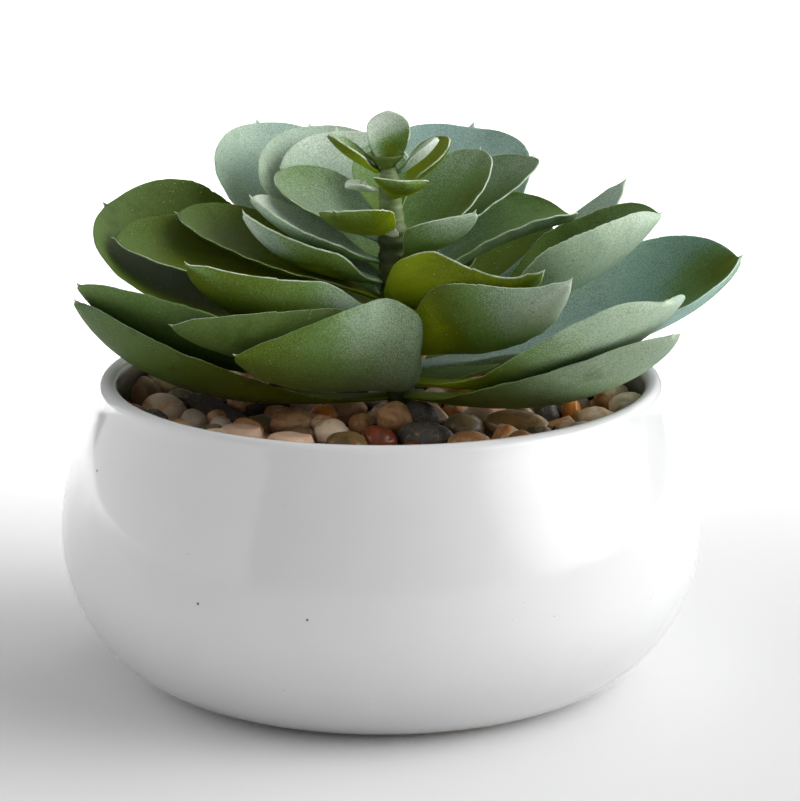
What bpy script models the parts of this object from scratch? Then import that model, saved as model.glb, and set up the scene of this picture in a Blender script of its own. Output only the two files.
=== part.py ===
"""Potted mexican snowball: a rosette of moulded leaves in a round glazed bowl topped with pebbles.

The origin is the centre of the bowl's foot, with +Z up. The rosette's front faces -Y.
"""

import math
import random
from dataclasses import dataclass

import bmesh
import bpy
import numpy as np
from mathutils import Euler, Matrix, Vector

MM = 0.001
GAP = 0.35 * MM  # left between neighbours that touch on the real object
FILL_GAP = 0.45 * MM  # and between the bowl's side and what fills it

# The bowl
BOWL_HEIGHT = 78 * MM
FOOT_RADIUS = 51 * MM
BELLY_RADIUS = 82.5 * MM
BELLY_HEIGHT = 38.5 * MM
MOUTH_RADIUS = 71 * MM  # outside, just under the lip
WALL = 5 * MM
FLOOR = 6 * MM
LOWER_SWELL = 1.94  # how full the bowl is below its belly
UPPER_SWELL = 1.7  # and above it
TURN_STEPS = 48

# The fill
SOIL_TOP = 56 * MM
BED_TOP = 64.5 * MM  # of the gravel that the pebbles are bedded in
PEBBLE_COUNT = 88
PEBBLE_LENGTH = (5.2 * MM, 7.2 * MM)  # half lengths
PEBBLE_FLATNESS = (0.62, 0.78)
PEBBLE_TOP = 69.6 * MM
PEBBLE_SEED = 7
PEBBLE_DETAIL = 0.62  # share of the joined pebbles' faces that is kept
GOLDEN_ANGLE = math.radians(137.5)

# The stem leans a little to the left as it rises
STEM_RADIUS = 3.2 * MM
STEM_FOOT = 32 * MM
STEM_TOP = 133.5 * MM
LEAN_START = 70 * MM
LEAN_END = 135 * MM
STEM_X_LOW = 5 * MM
STEM_X_HIGH = 1.8 * MM
BUD_RADIUS = 1.4 * MM
BUD_START = 128.5 * MM

# Every leaf
LEAF_THICKNESS = 2.0 * MM
LEAF_EDGE = 0.8 * MM
LEAF_STATIONS = 10
LEAF_COLUMNS = 5
CROWN_STATIONS = 8
TIP_CROWDING = 1.35  # above 1, stations crowd towards the tip
TIP_WIDTH = 0.5 * MM  # half width left at the very tip
NECK = 0.13  # a leaf's width at the stem, as a share of its full width
TIP_FULLNESS = 2.2  # high where a leaf keeps its width for long past its belly
ROOT_CUP = 0.3  # a leaf's cup at the stem, as a share of its full cup
ROLL_REACH = 0.35  # share of the length over which a leaf takes up its roll

# Colours, sampled by eye: red, green, blue
GLAZE_WHITE = (0.80, 0.81, 0.82)
BARK_BROWN = (0.05, 0.035, 0.022)
PEBBLE_TAN = (0.42, 0.24, 0.14)
STEM_GREEN = (0.22, 0.30, 0.10)
LEAF_LOW_GREEN = (0.10, 0.17, 0.11)
LEAF_MIDDLE_GREEN = (0.14, 0.22, 0.13)
LEAF_HIGH_GREEN = (0.22, 0.31, 0.19)
LEAF_CROWN_GREEN = (0.33, 0.42, 0.18)


@dataclass
class Leaf:
    """One leaf: millimetres and degrees, as a gardener would measure it from the stem."""

    name: str
    root: float  # height at which it leaves the stem
    turn: float  # direction it points, from +X towards +Y
    rise: float  # slope of the straight line from root to tip
    length: float  # of that line, from the stem's axis
    width: float
    curl: float  # how far the midrib bends up from root to tip
    cup: float  # half angle of the arc across the blade
    roll: float = 0  # turn about the midrib: positive lifts the left side
    belly: float = 0.55  # where along the leaf it is widest
    strap: float = 1.3  # high for a long narrow base, low for a broad one
    point: float = 0.6  # high for a sharp end, low for a round one
    sway: float = 0  # sideways bow of the midrib, positive to the left
    flatten: float = 0.35  # how much of the cup is lost by the tip
    hug: float = 0.3  # share of the length over which the cup opens
    skew: float = 0  # how much more of the arc lies left of the keel than right


LOW_LEAVES = (
    Leaf("leaf_low_1", 75.3, 145, 12, 84, 30, 50, 40, roll=-12, belly=0.62, strap=2.2),
    Leaf("leaf_low_2", 73, 322, 19.5, 88, 46, 52, 45, roll=-4, belly=0.62, strap=1.8),
    Leaf("leaf_low_3", 74, 46, 15, 84, 40, 45, 45),
    Leaf("leaf_low_4", 72.3, 188, 19.9, 88, 50, 68, 42, roll=12.5, belly=0.64, strap=2.8),
    Leaf("leaf_low_5", 77.3, 95, 16, 82, 40, 45, 43),
    Leaf("leaf_low_6", 77, 319, 22.5, 91, 41, 50, 45, roll=-5, belly=0.75, strap=2.8, point=0.4, sway=-4.5),
    Leaf("leaf_low_7", 78.8, 185.5, 18, 86, 49, 55, 55, roll=20, belly=0.63, strap=3.4, sway=1.3),
    Leaf("leaf_low_8", 80, 106, 28, 80, 32, 30, 40, belly=0.68, strap=2),
    Leaf("leaf_low_9", 80, 0, 19.5, 93, 57, 40, 55, roll=10, belly=0.66, strap=2.2, point=0.5, sway=-1.5),
    Leaf("leaf_low_10", 82.1, 60, 22, 80, 30, 35, 40, belly=0.62, strap=2),
)

MIDDLE_LEAVES = (
    Leaf(
        "leaf_middle_1", 75, 219, 18.5, 56, 41, 30, 60, roll=25, belly=0.18, strap=0.6, point=0.7,
        sway=1.5, hug=0.05, skew=0.5,
    ),
    Leaf("leaf_middle_2", 84.4, 33, 28.7, 82, 17, 35, 40, belly=0.65, point=1),
    Leaf(
        "leaf_middle_3", 85.3, 167.3, 25, 86, 58, 30, 34, roll=-16, belly=0.72, strap=3, point=0.45,
        sway=5.5, flatten=0.2,
    ),
    Leaf(
        "leaf_middle_4", 86.2, 71.6, 36.7, 82, 44, 20, 38, roll=8, belly=0.7, strap=1.8, point=0.38,
        sway=2.7,
    ),
    Leaf("leaf_middle_5", 88.5, 2, 26.6, 75, 58, 45, 75, roll=-8, belly=0.61, strap=4.6, point=0.42, sway=-2),
    Leaf(
        "leaf_middle_6", 83.3, 211, 14.3, 68, 22, 35, 56, roll=26, belly=0.3, strap=0.8, point=0.7,
        hug=0.05, skew=0.6,
    ),
    Leaf("leaf_middle_7", 90.3, 123.3, 34.7, 82, 44, 30, 38, roll=3, belly=0.7, strap=2, point=0.5, sway=3),
    Leaf("leaf_middle_8", 94.7, 182, 16, 75, 32.5, 0, 44, roll=-16, belly=0.62, strap=1.8),
    Leaf(
        "leaf_middle_9", 98.5, 16.5, 22, 52, 47, -20, 40, roll=-3, belly=0.7, strap=1.2, point=0.42,
        sway=4.5,
    ),
    Leaf(
        "leaf_middle_10", 92.9, 204, 20.2, 61, 20, 65, 56, roll=26, belly=0.38, strap=1.1, point=0.7,
        hug=0.1, skew=0.5,
    ),
    Leaf(
        "leaf_middle_11", 84.2, 323, 28, 60, 28, 58, 58, roll=-28, belly=0.36, strap=0.9, point=1.1,
        hug=0.1, skew=-0.5,
    ),
    Leaf("leaf_middle_12", 97.9, 173, 21.7, 61, 28, 5, 45, roll=-14, strap=1.9, sway=1.6),
    Leaf("leaf_middle_13", 93, 47, 28, 34, 9, 20, 38, belly=0.65),
)

HIGH_LEAVES = (
    Leaf("leaf_high_1", 99.7, 117, 38.3, 62, 42, 30, 38, belly=0.65, strap=1.8, point=0.5, sway=2),
    Leaf("leaf_high_2", 103, 42, 29.5, 57, 30, 25, 48, point=0.45, sway=8),
    Leaf("leaf_high_3", 102.5, 189, 29.5, 44, 24, 60, 60, roll=12, belly=0.4, point=0.9, sway=2),
    Leaf("leaf_high_4", 103, 111, 40, 54, 38, 30, 36, belly=0.65, strap=1.8, point=0.5, sway=2),
    Leaf(
        "leaf_high_5", 96.9, 324, 19.1, 48, 27, 60, 58, roll=-28, belly=0.14, strap=0.5, point=1.4,
        hug=0.05, skew=-0.5,
    ),
    Leaf("leaf_high_6", 106, 50, 40, 45, 24, 20, 50, point=0.5),
    Leaf("leaf_high_7", 107.6, 181, 28, 41, 22, 40, 55, roll=-3, point=0.5, sway=1.5),
    Leaf("leaf_high_8", 109, 325, 35, 30, 22, 40, 60, roll=-10, belly=0.4, point=0.9),
    Leaf("leaf_high_9", 112.8, 149, 28, 38, 27, 30, 45, roll=-5, point=0.5),
    Leaf("leaf_high_10", 115.9, 98, 38, 34, 16, 40, 45),
    Leaf("leaf_high_11", 115.5, 232, 25, 26, 22, 50, 60, roll=10, belly=0.45, strap=0.8),
)

CROWN_LEAVES = (
    Leaf("leaf_crown_1", 125, 300, 36, 13, 15, 50, 60, roll=-12),
    Leaf("leaf_crown_2", 126, 190, 12, 12, 8, 10, 50),
    Leaf("leaf_crown_3", 126.5, 27, 43, 21.5, 13, 30, 60, roll=6, point=0.5),
    Leaf("leaf_crown_4", 130, 178, 38, 19, 11, 30, 65),
    Leaf("leaf_crown_5", 129.5, 2, 46, 16, 8, 30, 55, roll=24),
    Leaf("leaf_crown_6", 133, 90, 70, 15, 12.5, 50, 45, point=0.5),
)


def clear_scene():
    for obj in list(bpy.data.objects):
        bpy.data.objects.remove(obj)


def principled(name, colour, roughness):
    material = bpy.data.materials.new(name)
    material.use_nodes = True
    shader = material.node_tree.nodes["Principled BSDF"]
    shader.inputs["Base Color"].default_value = (*colour, 1)
    shader.inputs["Roughness"].default_value = roughness
    shader.inputs["Metallic"].default_value = 0
    return material


def add_object(name, bm, material):
    """A new scene object from a closed bmesh, shaded smooth."""
    mesh = bpy.data.meshes.new(name)
    bm.to_mesh(mesh)
    bm.free()
    mesh.shade_smooth()
    mesh.set_sharp_from_angle(angle=math.radians(40))
    mesh.materials.append(material)
    obj = bpy.data.objects.new(name, mesh)
    bpy.context.scene.collection.objects.link(obj)
    return obj


def turned(name, profile, material):
    """A profile of (radius, height) points turned about Z. Its ends lie on the axis."""
    bm = bmesh.new()
    points = [bm.verts.new((radius, 0, height)) for radius, height in profile]
    edges = [bm.edges.new(pair) for pair in zip(points, points[1:])]
    bmesh.ops.spin(bm, geom=points + edges, axis=(0, 0, 1), cent=(0, 0, 0), angle=math.tau, steps=TURN_STEPS)
    bmesh.ops.remove_doubles(bm, verts=bm.verts, dist=0.01 * MM)
    bmesh.ops.recalc_face_normals(bm, faces=bm.faces)
    return add_object(name, bm, material)


def apply_modifier(obj, kind, **settings):
    modifier = obj.modifiers.new(kind.lower(), kind)
    for key, value in settings.items():
        setattr(modifier, key, value)
    bpy.context.view_layer.objects.active = obj
    bpy.ops.object.modifier_apply(modifier=modifier.name)


def bowl_radius(height):
    """Outer radius of the bowl at a height."""
    if height < BELLY_HEIGHT:
        below = 1 - height / BELLY_HEIGHT
        swell = (1 - below**LOWER_SWELL) ** (1 / LOWER_SWELL)
        return FOOT_RADIUS + (BELLY_RADIUS - FOOT_RADIUS) * swell
    above = (height - BELLY_HEIGHT) / (BOWL_HEIGHT - BELLY_HEIGHT)
    return BELLY_RADIUS - (BELLY_RADIUS - MOUTH_RADIUS) * above**UPPER_SWELL


def hollow_radius(height):
    """Inner radius of the bowl at a height."""
    if height >= BELLY_HEIGHT:
        return bowl_radius(height) - WALL
    below = 1 - (height - FLOOR) / (BELLY_HEIGHT - FLOOR)
    swell = (1 - below**LOWER_SWELL) ** (1 / LOWER_SWELL)
    return FOOT_RADIUS - WALL + (BELLY_RADIUS - FOOT_RADIUS) * swell


def spaced(low, high, count, ease=1.0):
    """Heights from low to high, closer together near low when ease is above 1."""
    return [low + (high - low) * (i / (count - 1)) ** ease for i in range(count)]


def side_heights():
    """Where the fill's side is measured, which the bowl's inside shares so that the two stay parallel."""
    return spaced(FLOOR, SOIL_TOP, 7, 1.3)


def make_bowl():
    lip = WALL / 2
    lip_base = BOWL_HEIGHT - lip
    lip_centre = (bowl_radius(lip_base) + hollow_radius(lip_base)) / 2
    outside = [(bowl_radius(z), z) for z in spaced(0, lip_base, 12, 1.4)]
    arc = [math.radians(angle) for angle in range(30, 180, 30)]
    rim = [(lip_centre + lip * math.cos(angle), lip_base + lip * math.sin(angle)) for angle in arc]
    inside = [(hollow_radius(z), z) for z in [*side_heights(), BED_TOP, PEBBLE_TOP, lip_base]]
    profile = [(0, 0), *outside, *rim, *reversed(inside), (0, FLOOR)]
    return turned("bowl", profile, principled("glaze", GLAZE_WHITE, 0.12))


def stem_hole(low, high):
    """A cutter for the plain round hole that the stem stands in."""
    bm = bmesh.new()
    radius = STEM_RADIUS + GAP
    bmesh.ops.create_cone(
        bm, cap_ends=True, segments=16, radius1=radius, radius2=radius, depth=high - low,
        matrix=Matrix.Translation((STEM_X_LOW, 0, (low + high) / 2)),
    )
    cutter = add_object("stem_hole", bm, None)
    cutter.hide_render = True
    cutter.display_type = "WIRE"
    return cutter


def bore_for_stem(obj, low, high):
    cutter = stem_hole(low, high)
    apply_modifier(obj, "BOOLEAN", operation="DIFFERENCE", solver="EXACT", object=cutter)
    bpy.data.objects.remove(cutter)


def make_soil():
    side = [(hollow_radius(z) - FILL_GAP, z + GAP) for z in side_heights()]
    profile = [(0, FLOOR + GAP), *side, (0, SOIL_TOP + GAP)]
    soil = turned("soil", profile, principled("bark", BARK_BROWN, 0.95))
    bore_for_stem(soil, STEM_FOOT - 2 * GAP, SOIL_TOP + WALL)
    return soil


def pebble_places():
    """Where each pebble lies: an even spiral over the bed, each one jittered, turned and sized by chance."""
    chance = random.Random(PEBBLE_SEED)
    reach = hollow_radius(PEBBLE_TOP) - GAP
    for i in range(PEBBLE_COUNT):
        length = chance.uniform(*PEBBLE_LENGTH)
        breadth = length * chance.uniform(0.8, 0.95)
        thickness = length * chance.uniform(*PEBBLE_FLATNESS)
        spread = math.sqrt((i + 0.5) / PEBBLE_COUNT)
        distance = (reach - PEBBLE_LENGTH[0]) * spread + chance.uniform(-1, 1) * MM
        distance = min(distance, reach - length)
        angle = i * GOLDEN_ANGLE + chance.uniform(-0.05, 0.05)
        height = PEBBLE_TOP - thickness - chance.uniform(0, 1.6) * MM
        turn = Euler((chance.uniform(-0.2, 0.2), chance.uniform(-0.2, 0.2), chance.uniform(0, math.pi)))
        centre = Vector((distance * math.cos(angle), distance * math.sin(angle), height))
        clear_of_stem = (centre.xy - Vector((STEM_X_LOW, 0))).length > length + STEM_RADIUS
        if clear_of_stem:
            yield Matrix.LocRotScale(centre, turn, Vector((length, breadth, thickness)))


def make_pebble_bed():
    base = SOIL_TOP + 2 * GAP
    side = [(hollow_radius(z) - FILL_GAP, z) for z in (base, BED_TOP)]
    profile = [(0, base), *side, (0, BED_TOP)]
    bed = turned("pebble_bed", profile, principled("pebble", PEBBLE_TAN, 0.35))
    pebbles = bpy.data.collections.new("pebbles")
    for place in pebble_places():
        bm = bmesh.new()
        bmesh.ops.create_icosphere(bm, subdivisions=2, radius=1, matrix=place)
        pebble = add_object("pebble", bm, None)
        bpy.context.scene.collection.objects.unlink(pebble)
        pebbles.objects.link(pebble)
    apply_modifier(
        bed, "BOOLEAN", operation="UNION", solver="EXACT", operand_type="COLLECTION", collection=pebbles
    )
    apply_modifier(bed, "DECIMATE", ratio=PEBBLE_DETAIL)
    for pebble in list(pebbles.objects):
        bpy.data.objects.remove(pebble)
    bpy.data.collections.remove(pebbles)
    bore_for_stem(bed, base - WALL, PEBBLE_TOP + WALL)
    return bed


def stem_x(height):
    """Sideways place of the stem's axis at a height."""
    share = min(max((height - LEAN_START) / (LEAN_END - LEAN_START), 0), 1)
    return STEM_X_LOW + (STEM_X_HIGH - STEM_X_LOW) * share


def stem_radius(height):
    """The stem is even up to the bud, then rounds off."""
    share = min(max((height - BUD_START) / (STEM_TOP - BUD_START), 0), 1)
    return STEM_RADIUS + (BUD_RADIUS - STEM_RADIUS) * share**1.5


def make_stem():
    curve = bpy.data.curves.new("stem", "CURVE")
    curve.dimensions = "3D"
    curve.bevel_depth = 1
    curve.bevel_resolution = 2
    curve.use_fill_caps = True
    spline = curve.splines.new("POLY")
    heights = [STEM_FOOT, LEAN_START, 100 * MM, *spaced(BUD_START, STEM_TOP, 5)]
    spline.points.add(len(heights) - 1)
    for point, height in zip(spline.points, heights):
        point.co = (stem_x(height), 0, height, 1)
        point.radius = stem_radius(height)
    curve.materials.append(principled("stem", STEM_GREEN, 0.5))
    stem = bpy.data.objects.new("stem", curve)
    bpy.context.scene.collection.objects.link(stem)
    return stem


def smooth(share):
    share = min(max(share, 0), 1)
    return share * share * (3 - 2 * share)


def midrib(leaf):
    """Points (out, up) and slopes along the midrib, bent so that its ends keep the leaf's rise and length."""
    share = np.linspace(0, 1, 200)
    slope = math.radians(leaf.curl) * share**2
    step = 1 / (len(share) - 1)
    out = np.concatenate([[0], np.cumsum(np.cos(slope[1:]) * step)])
    up = np.concatenate([[0], np.cumsum(np.sin(slope[1:]) * step)])
    turn = math.radians(leaf.rise) - math.atan2(up[-1], out[-1])
    root_lift = LEAF_THICKNESS / 2 * abs(math.sin(turn))
    start = stem_radius(leaf.root * MM) + GAP + root_lift
    scale = (leaf.length * MM - start) / math.hypot(out[-1], up[-1])
    turned_out = start + scale * (out * math.cos(turn) - up * math.sin(turn))
    turned_up = scale * (out * math.sin(turn) + up * math.cos(turn))
    return share, turned_out, turned_up, slope + turn


def half_width(leaf, share):
    full = leaf.width * MM / 2
    if share < leaf.belly:
        swell = math.sin(math.pi / 2 * share / leaf.belly) ** leaf.strap
        return full * (NECK + (1 - NECK) * swell)
    beyond = (share - leaf.belly) / (1 - leaf.belly)
    return max(full * max(1 - beyond**TIP_FULLNESS, 0) ** leaf.point, TIP_WIDTH)


def leaf_rows(leaf, stations, columns):
    """Rows of (point, normal, half thickness) across the blade, from root to tip."""
    shares, outs, ups, slopes = midrib(leaf)
    ahead = Vector((math.cos(math.radians(leaf.turn)), math.sin(math.radians(leaf.turn)), 0))
    left = Vector((-ahead.y, ahead.x, 0))
    root = Vector((stem_x(leaf.root * MM), 0, leaf.root * MM))
    for i in range(stations):
        share = 1 - (1 - i / (stations - 1)) ** TIP_CROWDING
        slope = float(np.interp(share, shares, slopes))
        centre = root + ahead * float(np.interp(share, shares, outs))
        centre += Vector((0, 0, float(np.interp(share, shares, ups))))
        centre += left * leaf.sway * MM * math.sin(math.pi * share)
        above = Vector((0, 0, math.cos(slope))) - ahead * math.sin(slope)
        roll = math.radians(leaf.roll) * smooth(share / ROLL_REACH)
        across = left * math.cos(roll) + above * math.sin(roll)
        above = above * math.cos(roll) - left * math.sin(roll)
        opened = ROOT_CUP + (1 - ROOT_CUP) * smooth(share / leaf.hug)
        arc = math.radians(leaf.cup) * opened * (1 - leaf.flatten * share)
        radius = half_width(leaf, share) / arc
        row = []
        for j in range(columns):
            side = 2 * j / (columns - 1) - 1
            angle = arc * (side + leaf.skew)
            point = centre + across * radius * math.sin(angle) + above * radius * (1 - math.cos(angle))
            normal = above * math.cos(angle) - across * math.sin(angle)
            half = (LEAF_EDGE + (LEAF_THICKNESS - LEAF_EDGE) * (1 - side * side)) / 2
            row.append((point, normal, half))
        yield row


def make_leaf(leaf, stations, material):
    """Loops round the blade's thickness, bridged from root to tip and capped."""
    bm = bmesh.new()
    loops = []
    for row in leaf_rows(leaf, stations, LEAF_COLUMNS):
        upper = [point + normal * half for point, normal, half in row]
        lower = [point - normal * half for point, normal, half in reversed(row)]
        loops.append([bm.verts.new(place) for place in upper + lower])
    for near, far in zip(loops, loops[1:]):
        for i in range(len(near)):
            j = (i + 1) % len(near)
            bm.faces.new((near[i], far[i], far[j], near[j]))
    bm.faces.new(loops[0])
    bm.faces.new(reversed(loops[-1]))
    bmesh.ops.triangulate(bm, faces=bm.faces)
    return add_object(leaf.name, bm, material)


def make_leaves(leaves, stations, colour):
    for leaf in leaves:
        make_leaf(leaf, stations, principled(leaf.name, colour, 0.6))


def main():
    clear_scene()
    make_bowl()
    make_soil()
    make_pebble_bed()
    make_stem()
    make_leaves(LOW_LEAVES, LEAF_STATIONS, LEAF_LOW_GREEN)
    make_leaves(MIDDLE_LEAVES, LEAF_STATIONS, LEAF_MIDDLE_GREEN)
    make_leaves(HIGH_LEAVES, LEAF_STATIONS, LEAF_HIGH_GREEN)
    make_leaves(CROWN_LEAVES, CROWN_STATIONS, LEAF_CROWN_GREEN)


main()
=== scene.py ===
"""The looks of the potted mexican snowball: a moulded rosette in a glazed bowl topped with pebbles.

Sizes are metres. The rosette's front faces -Y, towards the camera.
"""

import math
import random
from dataclasses import dataclass

import bpy
import numpy as np
from bpy.props import FloatProperty, FloatVectorProperty, IntProperty, PointerProperty
from mathutils import Euler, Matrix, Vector


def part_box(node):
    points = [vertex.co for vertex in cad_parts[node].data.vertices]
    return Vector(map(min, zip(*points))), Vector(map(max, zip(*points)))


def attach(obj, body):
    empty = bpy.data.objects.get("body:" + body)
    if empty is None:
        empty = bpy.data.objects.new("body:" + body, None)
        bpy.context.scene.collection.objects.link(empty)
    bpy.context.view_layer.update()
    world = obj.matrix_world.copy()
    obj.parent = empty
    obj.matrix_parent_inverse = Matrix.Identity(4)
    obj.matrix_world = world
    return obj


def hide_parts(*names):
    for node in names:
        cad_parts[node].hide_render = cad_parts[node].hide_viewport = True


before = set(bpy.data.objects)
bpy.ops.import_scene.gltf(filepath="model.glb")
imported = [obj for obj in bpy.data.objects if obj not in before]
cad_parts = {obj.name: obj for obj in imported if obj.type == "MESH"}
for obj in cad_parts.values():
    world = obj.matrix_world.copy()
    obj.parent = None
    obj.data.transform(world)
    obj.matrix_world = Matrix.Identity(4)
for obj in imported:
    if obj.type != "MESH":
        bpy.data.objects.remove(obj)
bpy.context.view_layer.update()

bl_info = {
    "name": "Potted Mexican Snowball",
    "version": (1, 0, 0),
    "blender": (4, 5, 0),
    "location": "View3D > Sidebar > Snowball",
    "description": "Dresses the bowl, pebbles, stem and leaves of a potted succulent",
    "category": "Object",
}

MM = 0.001
BOWL_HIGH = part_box("bowl")[1]
BED_LOW, BED_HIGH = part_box("pebble_bed")
STEM_LOW, STEM_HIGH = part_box("stem")
TOE = 0.3 * MM  # smallest ring, before a turned end is merged shut

# Shape of the bowl that the frame's boxes don't give
BELLY_HEIGHT = BOWL_HIGH[2] * (38.5 / 78)  # 38.5 mm up a bowl of 78 mm
LOWER_SWELL = 1.94  # below the belly: 2 is an ellipse, and less is straighter
UPPER_SWELL = 1.7  # above it: 2 is a parabola, and less is straighter
FLOOR = 6 * MM  # thickness of the bottom
HEEL = 1.2 * MM  # how far the foot's edge is rounded
BOWL_SEGMENTS = 144

# Dark pinholes in the glaze, as points on the bowl, with their radii
PINHOLES = (
    ((-0.0704, -0.0332, 0.0616), 0.45 * MM),
    ((-0.0439, -0.0698, 0.0387), 0.45 * MM),
    ((-0.0175, -0.0806, 0.0381), 0.4 * MM),
)

# The fill
BARK_DEPTH = 9 * MM  # of the bark bed, below the pebbles' tops
BARK_GAP = 0.5 * MM  # between the bark bed and the bowl
PEBBLE_FACES = 1600
CHIP_FACES = 44
CHIP_SLANTS = (0.2, -0.5, 0.7)  # of the ends of the three blank splinters
BED_SEGMENTS = 96
BED_RINGS = 26
HEAP = 3.6 * MM  # how much higher the pebbles lie against the wall
PEBBLE_SUNK = 0.8  # millimetres that a front pebble's top lies below the level, before its rise
CHIP_SUNK = 1.5  # and a front splinter's
WALL_ROOM = 0.3 * MM  # that a front pebble leaves along the bowl's wall
STEM_ROOM = 3.4 * MM  # that thrown pebbles leave round the stem's axis
LAYERS = ((0.5 * MM, 0.84, 1800), (4.6 * MM, 0.66, 1200))  # (depth, closeness, throws) of thrown pebbles

# The stem leans a little to the left as it rises
LEAN_START = 70 * MM
LEAN_END = 135 * MM
STEM_X_LOW = 5 * MM
STEM_X_HIGH = 1.8 * MM
STEM_SEGMENTS = 32
STEM_RINGS = 150
COLLAR_REACH = 1.1 * MM  # half height of the collar at each leaf's root
SLIM_START = 118 * MM  # above here the stem grows slimmer
SLIM_REACH = 9 * MM
SLIM_LOSS = 0.2  # share of its radius that it loses there
COLLAR_LOSS = 0.7  # and of its collars
BUD_START = 128.5 * MM  # and above here it rounds off
BUD_RADIUS = 1.4 * MM

# Every leaf starts as a copy of one flat blank
BLANK_SEGMENTS = 44
BLANK_RINGS = 110
BLANK_FLATNESS = 0.06  # the blank's thickness, as a share of its width
MIDRIB_POINTS = 400
TIP_CROWDING = 1.35  # above 1, rings crowd towards the tip
NECK = 0.13  # a leaf's width at the stem, as a share of its full width
ROOT_SINK = 1.2 * MM  # how far a leaf is pushed into the stem
SINK_REACH = 0.1  # share of the length that is bent to do so
LEAF_GAP = 0.35 * MM  # that the solid leaves keep from the stem
ROOT_CUP = 0.3  # share of its cup that a leaf has at the stem
ROLL_REACH = 0.35  # share of the length over which a roll sets in
RIPPLE_REACH = 0.3  # and a ripple
BLUNT_END = 0.8 * MM  # how far a leaf's ends are rounded
THIN_WIDTH = 1.3 * MM  # a blade with less than this on each side is thinner too
CALM_WIDTH = 4 * MM  # and with less than this it ripples less
FULL_WIDTH = 40  # millimetres: a leaf narrower than this ripples less all along
LEFT_WAVES = (2, 5, 9)  # how many ripples of each size there are along a side
RIGHT_WAVES = (2, 4, 8)
RAGGED_WAVES = (7, 17, 31, 43)
RAGGED = 0.014  # how far a margin is ragged, as a share of half the width
CUSP_FREE = 0.7  # share of a cusp's length that the rounded blade leaves free
CUSP_REACH = 1.7  # length of its foot, in lengths of the cusp
CUSP_BREADTH = 0.9  # half its foot's width, in the same measure
SPUR_REACH = 1.1  # half a spur's length along the margin, in its own heights
PATCH_BREADTH = 0.4  # below 1, a patch of bloom spreads more across the blade than along it
HEM_WIDTH = 0.22 * MM  # of a leaf's pale margin

# Camera and framing
PHOTO_WIDTH = 800
PHOTO_HEIGHT = 801
CAMERA_DISTANCE = 0.9
CAMERA_RISE = math.radians(16)
AIM_HEIGHT = 45 * MM
FOCAL_PIXELS = 3482  # focal length, in the photograph's pixels
AIM_PIXEL = (381, 498.3)  # where the aim point falls in the photograph
SENSOR = 36  # millimetres, as Blender gives it

PLANT_MIDDLE = (0, 0, 80 * MM)  # which the lights point at
FLOOR_SIZE = 12

# A light that looks straight down on the floor behind the object, without reaching it
WASH_DISTANCE = 1.1
WASH_SPREAD = math.radians(40)


class BowlSettings(bpy.types.PropertyGroup):
    """Sizes and colours of the glazed bowl."""

    foot: FloatProperty(name="Foot", description="Radius of the foot", default=51 * MM, unit="LENGTH")
    mouth: FloatProperty(
        name="Mouth", description="Outer radius just under the lip", default=71 * MM, unit="LENGTH"
    )
    wall: FloatProperty(name="Wall", description="Thickness of the side", default=5 * MM, unit="LENGTH")
    glaze: FloatVectorProperty(
        name="Glaze", description="Colour of the glaze", subtype="COLOR", default=(0.80, 0.80, 0.81)
    )
    lip: FloatVectorProperty(
        name="Lip", description="Where the glaze runs thin on the lip", subtype="COLOR",
        default=(0.72, 0.66, 0.53),
    )
    biscuit: FloatVectorProperty(
        name="Biscuit", description="Bare clay of the foot", subtype="COLOR", default=(0.62, 0.56, 0.47)
    )


class FillSettings(bpy.types.PropertyGroup):
    """The pebbles and the bark between them."""

    seed: IntProperty(name="Seed", description="Draw of the loose pebbles", default=11, min=0)
    pebble: FloatProperty(
        name="Pebble", description="Half length of a usual pebble", default=5.6 * MM, unit="LENGTH"
    )
    level: FloatProperty(
        name="Level", description="Height of the pebbles' tops", default=BED_HIGH[2], unit="LENGTH"
    )
    chips: IntProperty(name="Chips", description="Pieces of bark", default=230, min=0)
    bark: FloatVectorProperty(
        name="Bark", description="Colour of the bark", subtype="COLOR", default=(0.040, 0.029, 0.021)
    )


class StemSettings(bpy.types.PropertyGroup):
    """The short stem that carries the leaves."""

    radius: FloatProperty(name="Radius", description="Of the stem", default=3.2 * MM, unit="LENGTH")
    collar: FloatProperty(
        name="Collar", description="How far each leaf's collar stands out", default=0.7 * MM, unit="LENGTH"
    )
    green: FloatVectorProperty(
        name="Green", description="Colour of the stem", subtype="COLOR", default=(0.15, 0.21, 0.06)
    )
    # Painted shade: the stem's colour where it stands in the shadow of the leaves above
    shade: FloatVectorProperty(
        name="Shade", description="Colour between the lower leaves", subtype="COLOR",
        default=(0.035, 0.050, 0.006),
    )


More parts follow.
